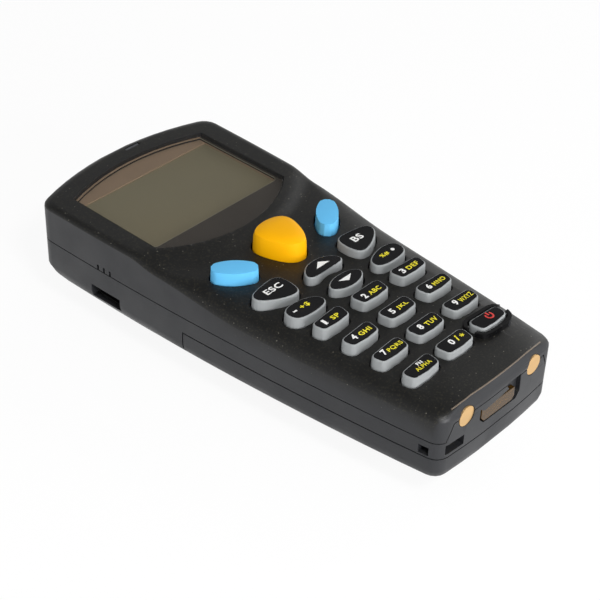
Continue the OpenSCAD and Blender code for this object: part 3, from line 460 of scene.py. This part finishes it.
def paint_nodes(finish):
    """Give the CAD nodes that stay as they are their finishes."""
    for node, material in finish.items():
        paint(frame["nodes"][node], material)


def add_finish(obj, material, wanted):
    """Give the faces for which wanted(face) is true a finish of their own."""
    obj.data.materials.append(material)
    for face in obj.data.polygons:
        if wanted(face):
            face.material_index = len(obj.data.materials) - 1


def stand_for(obj, node, material):
    """obj takes a CAD node's place, on its body and in its material slot."""
    paint(obj, material)
    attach(obj, frame["nodes"][node]["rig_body"])
    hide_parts(node)


# ---------------------------------------------------------------- case

# Distance of the tail's end from the origin, in mm, and the place behind which its cut-outs lie
TAIL_END = 61
TAIL_CUTS = -57 * MM
# Rows of points over the tail: the height of each, and how far it moves out to make a crisp edge, in mm. It
# moves in equal steps, each on a wider band from the tail's end, so that the edge fades away at the corners.
TAIL_ROWS = ((27.6, -1.15), (27.46, -0.9), (27.05, -0.5), (26.4, -0.2))
TAIL_BANDS = (3.0, 3.8, 4.6)
# Half the height within which points belong to a row, and half the width of the box round a corner, in mm
ROW_REACH, CORNER_REACH = 0.05, 0.15

# Corners of the infrared recess and of its pane, and how far they move, both along x and z in mm, to leave
# the recess as high on the left as on the right
RECESS_MOVES = (((-7.1, 20.9), (0, 1.4)), ((1.1, 22.8), (1.6, -0.6)))
PANE_MOVES = (((-6.6, 20.6), (0, 1.4)), ((-5.5, 18.4), (0, -0.3)), ((4.6, 18.2), (0, -0.3)))

# The bead over the tail, a painted highlight on its top edge: the radius of its bow, how far out and how high
# it lies, how far it reaches to either side of the middle, and its own radius
TAIL_BOW = 205 * MM
BEAD_OUT, BEAD_HEIGHT, BEAD_REACH, BEAD_RADIUS = 60.05 * MM, 27.47 * MM, 16.6 * MM, 0.16 * MM
BEAD_POINTS = 900

# The power key's guard stands above this height, and within this distance of the key
GUARD_FOOT, GUARD_REACH = 27.7 * MM, 2 * MM


def move_corner(obj, corner, shift):
    """Move the points of a cut-out's corner in the tail; corner and shift are along x and z in mm."""
    shift_points(obj, lambda point: abs(point.x / MM - corner[0]) < CORNER_REACH
                 and abs(point.z / MM - corner[1]) < CORNER_REACH and point.y < TAIL_CUTS,
                 (shift[0] * MM, 0, shift[1] * MM))


class TERMINAL_OT_case(bpy.types.Operator):
    """Round the seams and cut-outs of the case's mouldings and give them their black grained plastic"""
    bl_idname = "terminal.case"
    bl_label = "Case"

    def execute(self, context):
        top, wall = tuple(colours().case_top), tuple(colours().case_wall)
        front = moulded_abs("front_abs", top, wall)
        rear = moulded_abs("rear_abs", wall, wall)
        for node, material in (("front_housing", front), ("rear_housing", rear), ("battery_cover", rear)):
            shell = copy_of(node, node + "_shell")
            if node == "front_housing":
                self.sharpen_tail(shell)
            if node == "rear_housing":
                for corner, shift in RECESS_MOVES + PANE_MOVES:
                    move_corner(shell, corner, shift)
            round_edges(shell, sizes().case_edge, sharp=42, smooth=38)
            stand_for(shell, node, material)
            if node == "front_housing":
                self.paint_guard(shell)
        self.worn_edge()
        return {"FINISHED"}

    def sharpen_tail(self, shell):
        """Draw the rounded rows over the tail out to a crisp edge that fades away at the corners."""
        for height, shift in TAIL_ROWS:
            for reach in TAIL_BANDS:
                shift_points(shell, lambda point: abs(point.z / MM - height) < ROW_REACH
                             and point.y / MM + TAIL_END < reach, (0, shift / len(TAIL_BANDS) * MM, 0))

    def worn_edge(self):
        """A painted highlight along the edge over the tail: a fine, pale brown bead along the tail's bow."""
        deselect()
        bpy.ops.mesh.primitive_circle_add(vertices=BEAD_POINTS, radius=TAIL_BOW,
                                          location=(0, TAIL_BOW - BEAD_OUT, BEAD_HEIGHT))
        bead = bpy.context.object
        bead.name = "worn_edge"
        apply_place(bead)
        delete_points(bead, lambda point: abs(point.x) > BEAD_REACH or point.y > 0)
        wrap = bead.modifiers.new("on_case", "SHRINKWRAP")
        wrap.target = bpy.data.objects["front_housing_shell"]
        bpy.ops.object.modifier_apply(modifier=wrap.name)
        bead = make_wire(BEAD_RADIUS)
        # Its pale brown is a painted highlight, not a colour of the plastic
        paint(bead, plain_moulding("worn_abs", "#6b5f52", 0.35))
        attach(bead, "case")

    def paint_guard(self, shell):
        """The two ribs beside the power key are polished by handling."""
        low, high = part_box("key_power")
        add_finish(shell, plain_moulding("polished_abs", "#0c0c0d", 0.16, 1.2 * MM, 0.02 * MM),
                   lambda face: face.center.z > GUARD_FOOT and face.center.y < high.y + GUARD_REACH
                   and face.center.x > low.x - GUARD_REACH)


# ---------------------------------------------------------------- keys

GREY_KEYS = ("esc", "back", "up", "down", "minus", "point", "1", "2", "3", "4", "5", "6", "7", "8", "9",
             "shift", "0", "power")

# Which points of the blue and orange keys are lowered, in mm: from and to how far below the key's top, and
# by how much. The scan key's crown gets a lower foot, so that its rim can be a soft one. The chamfer's ring
# on a blue key is brought level with the top, and then both sink, to round them in one sweep.
SCAN_DROPS = ((1.5, 1.2, 0.7),)
BLUE_DROPS = ((0.4, 0.1, -0.2), (0.1, -0.1, 0.7))

# Radius along a black plate's top, as a share of how far it stands up
PLATE_EDGE = 0.7


class TERMINAL_OT_keys(bpy.types.Operator):
    """Round the edges of the rubber keys and colour them grey, blue and orange"""
    bl_idname = "terminal.keys"
    bl_label = "Keys"

    def execute(self, context):
        grey = silicone("grey_silicone", colours().key_grey)
        blue = silicone("blue_silicone", colours().key_blue)
        orange = silicone("orange_silicone", colours().key_orange)
        finish = {"scan": orange, "left": blue, "right": blue}
        for key in GREY_KEYS + tuple(finish):
            cap = copy_of("key_" + key, "cap_" + key)
            if key in finish:
                self.soften(cap, key)
            else:
                round_edges(cap, sizes().key_edge, sharp=32, smooth=50)
            stand_for(cap, "key_" + key, finish.get(key, grey))
        return {"FINISHED"}

    def soften(self, cap, key):
        """Give a blue or orange key its wide, soft rim."""
        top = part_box("key_" + key)[1].z
        for start, end, drop in SCAN_DROPS if key == "scan" else BLUE_DROPS:
            shift_points(cap, lambda point: top - start * MM < point.z < top - end * MM, (0, 0, -drop * MM))
        if key != "scan":
            select_faces(cap, lambda face: face.normal.z > LEVEL and face.center.z > top - MM)
            bpy.ops.mesh.dissolve_faces()
        round_edges(cap, sizes().soft_edge, sharp=28, smooth=60, segments=5, hold="CORNER_ANGLE")


class TERMINAL_OT_plates(bpy.types.Operator):
    """Lay the thin glossy black plate on top of each lettered key"""
    bl_idname = "terminal.plates"
    bl_label = "Key Plates"

    def execute(self, context):
        gloss = plain_moulding("key_plate_gloss", "#0e0e10", roughness=0.2, pitch=2 * MM, depth=0.004 * MM,
                               ior=1.4)
        for key in GREY_KEYS:
            plate = copy_of("key_" + key, "plate_" + key)
            # Only the key's top face is kept, a little smaller
            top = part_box("key_" + key)[1].z
            select_faces(plate, lambda face: face.center.z > top - SLACK and face.normal.z > LEVEL)
            keep_selected_faces()
            bpy.ops.mesh.select_all(action="SELECT")
            bpy.ops.mesh.dissolve_faces()
            bpy.ops.mesh.inset(thickness=sizes().plate_rim, depth=0)
            keep_selected_faces()
            bpy.ops.mesh.select_all(action="SELECT")
            extrude_up(sizes().plate_rise)
            round_edges(plate, sizes().plate_rise * PLATE_EDGE, sharp=60, smooth=40)
            paint(plate, gloss)
            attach(plate, "key_" + key)
        return {"FINISHED"}


# The letters printed beside each digit, and how wide the print is in mm
LETTERS = {"1": ("SP", 2.4), "2": ("ABC", 3.7), "3": ("DEF", 3.7), "4": ("GHI", 3.6), "5": ("JKL", 3.5),
           "6": ("MNO", 3.9), "7": ("PQRS", 4.5), "8": ("TUV", 3.7), "9": ("WXYZ", 4.2)}
# Width of a digit as a share of its height
DIGIT_WIDTH, ONE_WIDTH = 0.68, 0.42

# How much a print's outline is fattened, as a share of the digits' height, by its number of letters: less
# where more of them share the place, and least for the star
BOLDNESS = {1: 0.05, 2: 0.035, 3: 0.035}
FINE_BOLDNESS = 0.02
# Size of the type against the digits' height, and how far its letters stand apart
TYPE_SIZE, LETTER_SPACING = 1.4, 1.12

# The open ring of the power sign, in mm, and the share of its radius above which it is open
RING_RADIUS, RING_STROKE, RING_GAP = 0.9, 0.2, 0.75


def legends():
    """Every printed text: key, text, ink, width and height, and its centre from the key's middle, in mm."""
    tall, small = sizes().digit_height / MM, sizes().letter_height / MM
    for i, (key, (letters, width)) in enumerate(LETTERS.items()):
        row = i // 3
        # The prints sit a little further to the right in each row
        digit_width = (ONE_WIDTH if key == "1" else DIGIT_WIDTH) * tall
        yield key, key, "white", digit_width, tall, -2.15 + 0.28 * row, -0.25 + 0.22 * row
        yield key, letters, "yellow", width, small, 1.06 + 0.29 * row, -0.42 + 0.12 * row
    yield "0", "0", "white", 0.72 * tall, tall, -0.75, 0.25
    yield "0", "/", "yellow", 0.5 * tall, tall, 1.1, 0.25
    yield "0", "*", "yellow", 1.1, 1.1, 2.7, 0.15
    yield "esc", "ESC", "white", 5.2, 1.8, 0.5, 0.7
    yield "back", "BS", "white", 3.2, 2.05, -0.66, 0.4
    yield "minus", "-", "white", 1.1, 0.42, -2.8, 0.45
    yield "minus", "+$", "yellow", 2.7, 1.5, 0.25, 0.4
    yield "point", "%#", "yellow", 2.6, small, -0.6, 0.3
    yield "point", "•", "white", 1.0, 1.0, 2.3, 0.35
    yield "shift", "FN", "white", 1.6, 0.9, 0.6, 0.72
    yield "shift", "ALPHA", "yellow", 4.7, 1.05, 0.6, -0.45


def plate_middle(key):
    """Above the middle of a key's plunger, on its black plate."""
    node = frame["nodes"]["key_" + key]
    points = [node.matrix_world @ vertex.co for vertex in node.data.vertices]
    low = min(point.z for point in points)
    foot = [point for point in points if point.z < low + SLACK]
    x, y = ((min(point[i] for point in foot) + max(point[i] for point in foot)) / 2 for i in (0, 1))
    return Vector((x, y, max(point.z for point in points) + sizes().plate_rise))


def print_on(obj, key, ink, width, height, x, y):
    """Bring a print to its size and place in mm, on its key and in its ink."""
    only(obj)
    bpy.ops.object.origin_set(type="ORIGIN_GEOMETRY", center="BOUNDS")
    obj.location = plate_middle(key) + Vector((x, y, 0)) * MM
    obj.scale.x *= width * MM / obj.dimensions.x
    obj.scale.y *= height * MM / obj.dimensions.y
    apply_place(obj)
    paint(obj, bpy.data.materials[ink + "_ink"])
    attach(obj, "key_" + key)


class TERMINAL_OT_legends(bpy.types.Operator):
    """Print the keys' digits, letters, arrows and power sign"""
    bl_idname = "terminal.legends"
    bl_label = "Legends"

    def execute(self, context):
        for name in ("white", "yellow", "red"):
            printed_ink(name + "_ink", getattr(colours(), name + "_ink"))
        for key, text, ink, *place in legends():
            self.write(key, text, ink, *place)
        self.arrow("up", 0, 4.3, 1.7, 0.36, 0.6)
        self.arrow("down", 180, 4.3, 1.45, 0.3, 0.3)
        self.power_sign()
        return {"FINISHED"}

    def write(self, key, text, ink, *place):
        """Print one text, as thin raised letters in the typeface that is built in."""
        deselect()
        bpy.ops.object.text_add()
        made = bpy.context.object
        made.data.body = text
        made.data.size = sizes().digit_height * TYPE_SIZE
        made.data.extrude = sizes().ink_rise / 2
        bold = FINE_BOLDNESS if text == "*" else BOLDNESS.get(len(text), FINE_BOLDNESS)
        made.data.offset = bold * sizes().digit_height
        made.data.space_character = LETTER_SPACING
        made.data.resolution_u = 4
        bpy.ops.object.convert(target="MESH")
        made = bpy.context.object
        made.name = f"print_{key}_{ink}"
        print_on(made, key, ink, *place)

    def arrow(self, key, turn, *place):
        """A flat triangle that points to the display, or to the tail when it is turned round."""
        deselect()
        bpy.ops.mesh.primitive_circle_add(vertices=3, radius=MM, fill_type="NGON",
                                          rotation=(0, 0, math.radians(turn)))
        made = bpy.context.object
        made.name = f"print_{key}_arrow"
        bpy.ops.object.mode_set(mode="EDIT")
        extrude_up(sizes().ink_rise)
        apply_place(made)
        print_on(made, key, "white", *place)

    def power_sign(self):
        """An open ring with a bar through its gap."""
        deselect()
        bpy.ops.mesh.primitive_circle_add(vertices=36, radius=RING_RADIUS * MM)
        made = bpy.context.object
        made.name = "print_power_ring"
        delete_points(made, lambda point: point.y > RING_GAP * RING_RADIUS * MM)
        made = make_wire(RING_STROKE * MM)
        bpy.ops.transform.resize(value=(1, 1, sizes().ink_rise / MM / RING_STROKE))
        apply_place(made)
        print_on(made, "power", "red", 2.2, 1.9, 0.7, -0.05)
        deselect()
        bpy.ops.mesh.primitive_cube_add(size=2 * sizes().ink_rise)
        made = bpy.context.object
        made.name = "print_power_bar"
        print_on(made, "power", "red", 0.42, 1.1, 0.7, 0.75)


# ---------------------------------------------------------------- display

# How far the brown strip reaches down from the glass's head, and how far inside the glass's foot, head and
# sides the faces start that carry the pale line, a painted highlight
STRIP_DEPTH = 5.2 * MM
LINE_FOOT, LINE_HEAD, LINE_SIDE = 0.5 * MM, 5 * MM, 0.3 * MM
LINE_THICKNESS = 0.14 * MM


class TERMINAL_OT_display(bpy.types.Operator):
    """Finish the display: its clear window, brown frame, polariser and the parts behind them"""
    bl_idname = "terminal.display"
    bl_label = "Display"

    def execute(self, context):
        lens = copy_of("display_lens", "window")
        round_edges(lens, 0.12 * MM, sharp=40, smooth=40)
        stand_for(lens, "display_lens", clear_acrylic("clear_acrylic"))
        finish = {
            "lcd_glass": polariser("lcd_polariser", tuple(colours().display)),
            "lcd_bezel": plain_moulding("brown_frame", "#b49b81", 0.5),
            "backlight": plain_moulding("light_guide", "#e4e4da", 0.3),
            "lcd_connector": plain_moulding("connector_rubber", "#2c2c2c", 0.6),
            "status_light": plain_moulding("light_pipe", "#57585c", 0.25),
        }
        paint_nodes(finish)
        self.print_border(finish["lcd_bezel"])
        self.line_glass()
        return {"FINISHED"}

    def print_border(self, brown):
        """The border printed behind the window: black print beside the glass, painted a lighter warm grey
        there as a painted reflection of the window's gloss, and brown over its head.
        """
        border = copy_of("lens_tape", "border")
        # Its warm grey, lighter than the black print, is a painted reflection of the window's gloss
        stand_for(border, "lens_tape", plain_moulding("printed_border", "#524c46", 0.5))
        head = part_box("lcd_glass")[1].y - STRIP_DEPTH
        add_finish(border, brown, lambda face: face.center.y > head)

    def line_glass(self):
        """A painted highlight: a pale line on the edge where the window's printed border ends over the glass,
        but not at the head.
        """
        line = copy_of("lens_tape", "glass_line")
        low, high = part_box("lcd_glass")
        select_faces(line, lambda face: abs(face.normal.z) < UPRIGHT
                     and abs(face.center.x) < high.x - LINE_SIDE
                     and low.y + LINE_FOOT < face.center.y < high.y - LINE_HEAD)
        keep_selected_faces()
        bpy.ops.object.mode_set(mode="OBJECT")
        solid = line.modifiers.new("thick", "SOLIDIFY")
        solid.thickness = LINE_THICKNESS
        solid.offset = 1
        bpy.ops.object.modifier_apply(modifier=solid.name)
        # Its pale colour is a painted highlight on the edge
        paint(line, plain_moulding("glass_edge", "#a9a48f", 0.4))
        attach(line, "case")


# ---------------------------------------------------------------- scanner, ports and inside

class TERMINAL_OT_scanner(bpy.types.Operator):
    """Finish the scan window in the nose and the scan engine behind it"""
    bl_idname = "terminal.scanner"
    bl_label = "Scanner"

    def execute(self, context):
        pane = copy_of("scan_window", "scan_pane")
        round_edges(pane, 0.15 * MM, sharp=40, smooth=40)
        stand_for(pane, "scan_window", tinted_window("red_window", "#4a1016", 0.75))
        finish = {
            "scan_engine": plain_moulding("engine_housing", "#26282c", 0.4),
            "scan_lens": plain_moulding("engine_lens", "#14161a", 0.12),
            "scan_leds": tinted_window("red_lamps", "#a8202c", 0.9),
        }
        paint_nodes(finish)
        return {"FINISHED"}


# How far the infrared pane stands further out than its plain solid
PANE_FORWARD = 0.4 * MM


class TERMINAL_OT_tail(bpy.types.Operator):
    """Finish the tail's charging contacts and infrared window, and the cable socket in the side"""
    bl_idname = "terminal.tail"
    bl_label = "Tail and Ports"

    def execute(self, context):
        contacts = copy_of("charge_contacts", "contacts")
        round_edges(contacts, 0.2 * MM, sharp=50, smooth=40)
        stand_for(contacts, "charge_contacts", plated_metal("gold_plate", "#dfba84", 0.5))
        pane = copy_of("ir_window", "infrared_pane")
        for corner, shift in PANE_MOVES:
            move_corner(pane, corner, shift)
        only(pane)
        bpy.ops.transform.translate(value=(0, -PANE_FORWARD, 0))
        apply_place(pane)
        round_edges(pane, 0.2 * MM, sharp=40, smooth=40)
        stand_for(pane, "ir_window", tinted_window("infrared_window", "#422d0a", 0.97, 0.25))
        finish = {
            "ir_transceiver": plain_moulding("transceiver", "#1c1418", 0.3),
            "cable_socket": plain_moulding("socket_plastic", "#0c0c0d", 0.5),
        }
        paint_nodes(finish)
        return {"FINISHED"}


class TERMINAL_OT_inside(bpy.types.Operator):
    """Finish the board, the battery bay's metal, the cells and the screws"""
    bl_idname = "terminal.inside"
    bl_label = "Inside"

    def execute(self, context):
        steel = plated_metal("nickel_plate", "#b9bbbe", 0.32)
        sleeve = cell_sleeve("cell_sleeve")
        finish = {
            "keypad_web": silicone("mat_silicone", colours().key_grey),
            "key_domes": steel, "backup_cell": steel, "battery_springs": steel, "battery_plates": steel,
            "housing_screws": plated_metal("blackened_steel", "#3c3d40", 0.38),
            "main_board": circuit_board("green_board"),
            "board_chips": plain_moulding("chip_resin", "#1b1b1c", 0.5),
            "buzzer": plain_moulding("buzzer_case", "#121213", 0.45),
            "cell_left": sleeve, "cell_right": sleeve,
        }
        paint_nodes(finish)
        return {"FINISHED"}


# ---------------------------------------------------------------- stage

# The floor lies level with the flat under the hump, which leaves the battery cover's way out free
FLOOR_DROP = 0.1 * MM
FLOOR_SIZE = 6

# The viewpoint: turn, height and roll in degrees, distance, what it looks at, and the lens in mm
VIEW_AZIMUTH, VIEW_ELEVATION, VIEW_ROLL = -48.11, 37.37, 1.73
VIEW_DISTANCE = 367.77 * MM
VIEW_TARGET = Vector((-4.92, -3.65, 19.03)) * MM
VIEW_LENS = 95.73
VIEW_SHIFT = (0.0209, 0.0016)

# The lamps: name, turn and height round the terminal in degrees, distance and size in m, power in W. The
# flash gives the glints, the tail light brightens the tail's face, and the soft ones shape the walls.
LAMPS = (
    ("flash", -25, 48, 0.6, 0.1, 1.6),
    ("tail_light", -8, 12, 0.7, 0.4, 3.6),
    ("soft_left", -120, 45, 0.8, 0.6, 0.6),
    ("soft_right", 88, 28, 0.8, 0.5, 1.4),
)

# The sky's strength near the horizon and overhead, and between which heights it falls
SKY_LOW, SKY_HIGH = 0.95, 0.22
SKY_FALL = (0.12, 0.5)


def direction(azimuth, elevation):
    """A unit vector from the object towards a place round it."""
    a, e = math.radians(azimuth), math.radians(elevation)
    return Vector((math.sin(a) * math.cos(e), -math.cos(a) * math.cos(e), math.sin(e)))


def seen_as_white(tree, lit, strength, share):
    """Mix a lit surface with plain white for what the camera, gloss and glass see of it."""
    path = add_node(tree, "ShaderNodeLightPath")
    either = add_node(tree, "ShaderNodeMath", {0: path.outputs["Is Camera Ray"],
                                               1: path.outputs["Is Glossy Ray"]}, operation="MAXIMUM")
    any_of = add_node(tree, "ShaderNodeMath", {0: either.outputs["Value"],
                                               1: path.outputs["Is Transmission Ray"]},
                      operation="MAXIMUM")
    amount = add_node(tree, "ShaderNodeMath", {0: any_of.outputs["Value"], 1: share},
                      operation="MULTIPLY")
    white = add_node(tree, "ShaderNodeEmission", {"Color": (1.0, 1.0, 1.0), "Strength": strength})
    return add_node(tree, "ShaderNodeMixShader", {0: amount.outputs["Value"], 1: lit,
                                                  2: white.outputs["Emission"]}).outputs["Shader"]


def add_lamp(name, azimuth, elevation, distance, size, power):
    """A square lamp that faces the middle of the terminal."""
    toward = direction(azimuth, elevation)
    middle = (CAD_BOX[0] + CAD_BOX[1]) / 2
    bpy.ops.object.light_add(type="AREA", location=middle + toward * distance,
                             rotation=toward.to_track_quat("Z", "Y").to_euler())
    lamp = bpy.context.object
    lamp.name = name
    lamp.data.size = size
    lamp.data.energy = power


class TERMINAL_OT_stage(bpy.types.Operator):
    """Set up the white floor, the soft lamps, the pale surroundings and the camera"""
    bl_idname = "terminal.stage"
    bl_label = "Stage"

    def execute(self, context):
        self.lay_floor()
        self.light()
        self.aim_camera()
        return {"FINISHED"}

    def lay_floor(self):
        deselect()
        bpy.ops.mesh.primitive_plane_add(size=FLOOR_SIZE, location=(0, 0, -FLOOR_DROP))
        floor = bpy.context.object
        floor.name = "floor"
        material = bpy.data.materials.new("white_floor")
        material.use_nodes = True
        tree = material.node_tree
        shader = tree.nodes["Principled BSDF"]
        fill(shader, Base_Color=(0.85, 0.85, 0.85), Roughness=0.9, Specular_IOR_Level=0.1)
        seen = seen_as_white(tree, shader.outputs["BSDF"], strength=1.03, share=0.88)
        tree.links.new(seen, tree.nodes["Material Output"].inputs["Surface"])
        paint(floor, material)

    def light(self):
        for lamp in LAMPS:
            add_lamp(*lamp)
        # White near the horizon, as a studio's sweep is, and darker overhead
        world = bpy.context.scene.world or bpy.data.worlds.new("studio")
        bpy.context.scene.world = world
        world.use_nodes = True
        tree = world.node_tree
        tree.nodes.clear()
        coords = add_node(tree, "ShaderNodeTexCoord")
        height = add_node(tree, "ShaderNodeSeparateXYZ", {"Vector": coords.outputs["Generated"]})
        level = add_node(tree, "ShaderNodeMapRange",
                         {"Value": height.outputs["Z"], "From Min": SKY_FALL[0], "From Max": SKY_FALL[1],
                          "To Min": SKY_LOW, "To Max": SKY_HIGH}, interpolation_type="SMOOTHSTEP")
        path = add_node(tree, "ShaderNodeLightPath")
        seen = add_node(tree, "ShaderNodeMath", {0: path.outputs["Is Camera Ray"],
                                                 1: path.outputs["Is Transmission Ray"]},
                        operation="MAXIMUM")
        strength = add_node(tree, "ShaderNodeMath", {0: level.outputs["Result"],
                                                     1: seen.outputs["Value"]}, operation="MAXIMUM")
        sky = add_node(tree, "ShaderNodeBackground", {"Color": (1.0, 1.0, 1.0),
                                                      "Strength": strength.outputs["Value"]})
        add_node(tree, "ShaderNodeOutputWorld", {"Surface": sky.outputs["Background"]})

    def aim_camera(self):
        back = direction(VIEW_AZIMUTH, VIEW_ELEVATION)
        right = (-back).cross(Vector((0, 0, 1))).normalized()
        up = right.cross(-back)
        turn = math.radians(VIEW_ROLL)
        across = right * math.cos(turn) + up * math.sin(turn)
        upright = up * math.cos(turn) - right * math.sin(turn)
        axes = Matrix((across, upright, back)).transposed()
        bpy.ops.object.camera_add(location=VIEW_TARGET + back * VIEW_DISTANCE, rotation=axes.to_euler())
        camera = bpy.context.object
        camera.data.lens = VIEW_LENS
        camera.data.sensor_width = 36
        camera.data.shift_x, camera.data.shift_y = VIEW_SHIFT
        camera.data.clip_start = 0.01
        scene = bpy.context.scene
        scene.camera = camera
        scene.view_settings.view_transform = "Standard"


# ---------------------------------------------------------------- panel and start

OPERATORS = (TERMINAL_OT_case, TERMINAL_OT_keys, TERMINAL_OT_plates, TERMINAL_OT_legends,
             TERMINAL_OT_display, TERMINAL_OT_scanner, TERMINAL_OT_tail, TERMINAL_OT_inside,
             TERMINAL_OT_stage)


class TERMINAL_PT_panel(bpy.types.Panel):
    """The terminal's pieces and settings"""
    bl_idname = "TERMINAL_PT_panel"
    bl_label = "Data Terminal"
    bl_space_type = "VIEW_3D"
    bl_region_type = "UI"
    bl_category = "Terminal"

    def draw(self, context):
        for settings in (context.scene.terminal_sizes, context.scene.terminal_colours):
            box = self.layout.box()
            for name in settings.bl_rna.properties.keys():
                if name not in ("rna_type", "name"):
                    box.prop(settings, name)
        for operator in OPERATORS:
            self.layout.operator(operator.bl_idname)


CLASSES = (TerminalSizes, TerminalColours, *OPERATORS, TERMINAL_PT_panel)


def register():
    for cls in CLASSES:
        bpy.utils.register_class(cls)
    bpy.types.Scene.terminal_sizes = bpy.props.PointerProperty(type=TerminalSizes)
    bpy.types.Scene.terminal_colours = bpy.props.PointerProperty(type=TerminalColours)


def unregister():
    del bpy.types.Scene.terminal_colours
    del bpy.types.Scene.terminal_sizes
    for cls in reversed(CLASSES):
        bpy.utils.unregister_class(cls)


def main():
    register()
    bpy.ops.terminal.stage()
    bpy.ops.terminal.case()
    bpy.ops.terminal.keys()
    bpy.ops.terminal.plates()
    bpy.ops.terminal.legends()
    bpy.ops.terminal.display()
    bpy.ops.terminal.scanner()
    bpy.ops.terminal.tail()
    bpy.ops.terminal.inside()
    deselect()


if __name__ == "__main__":
    main()
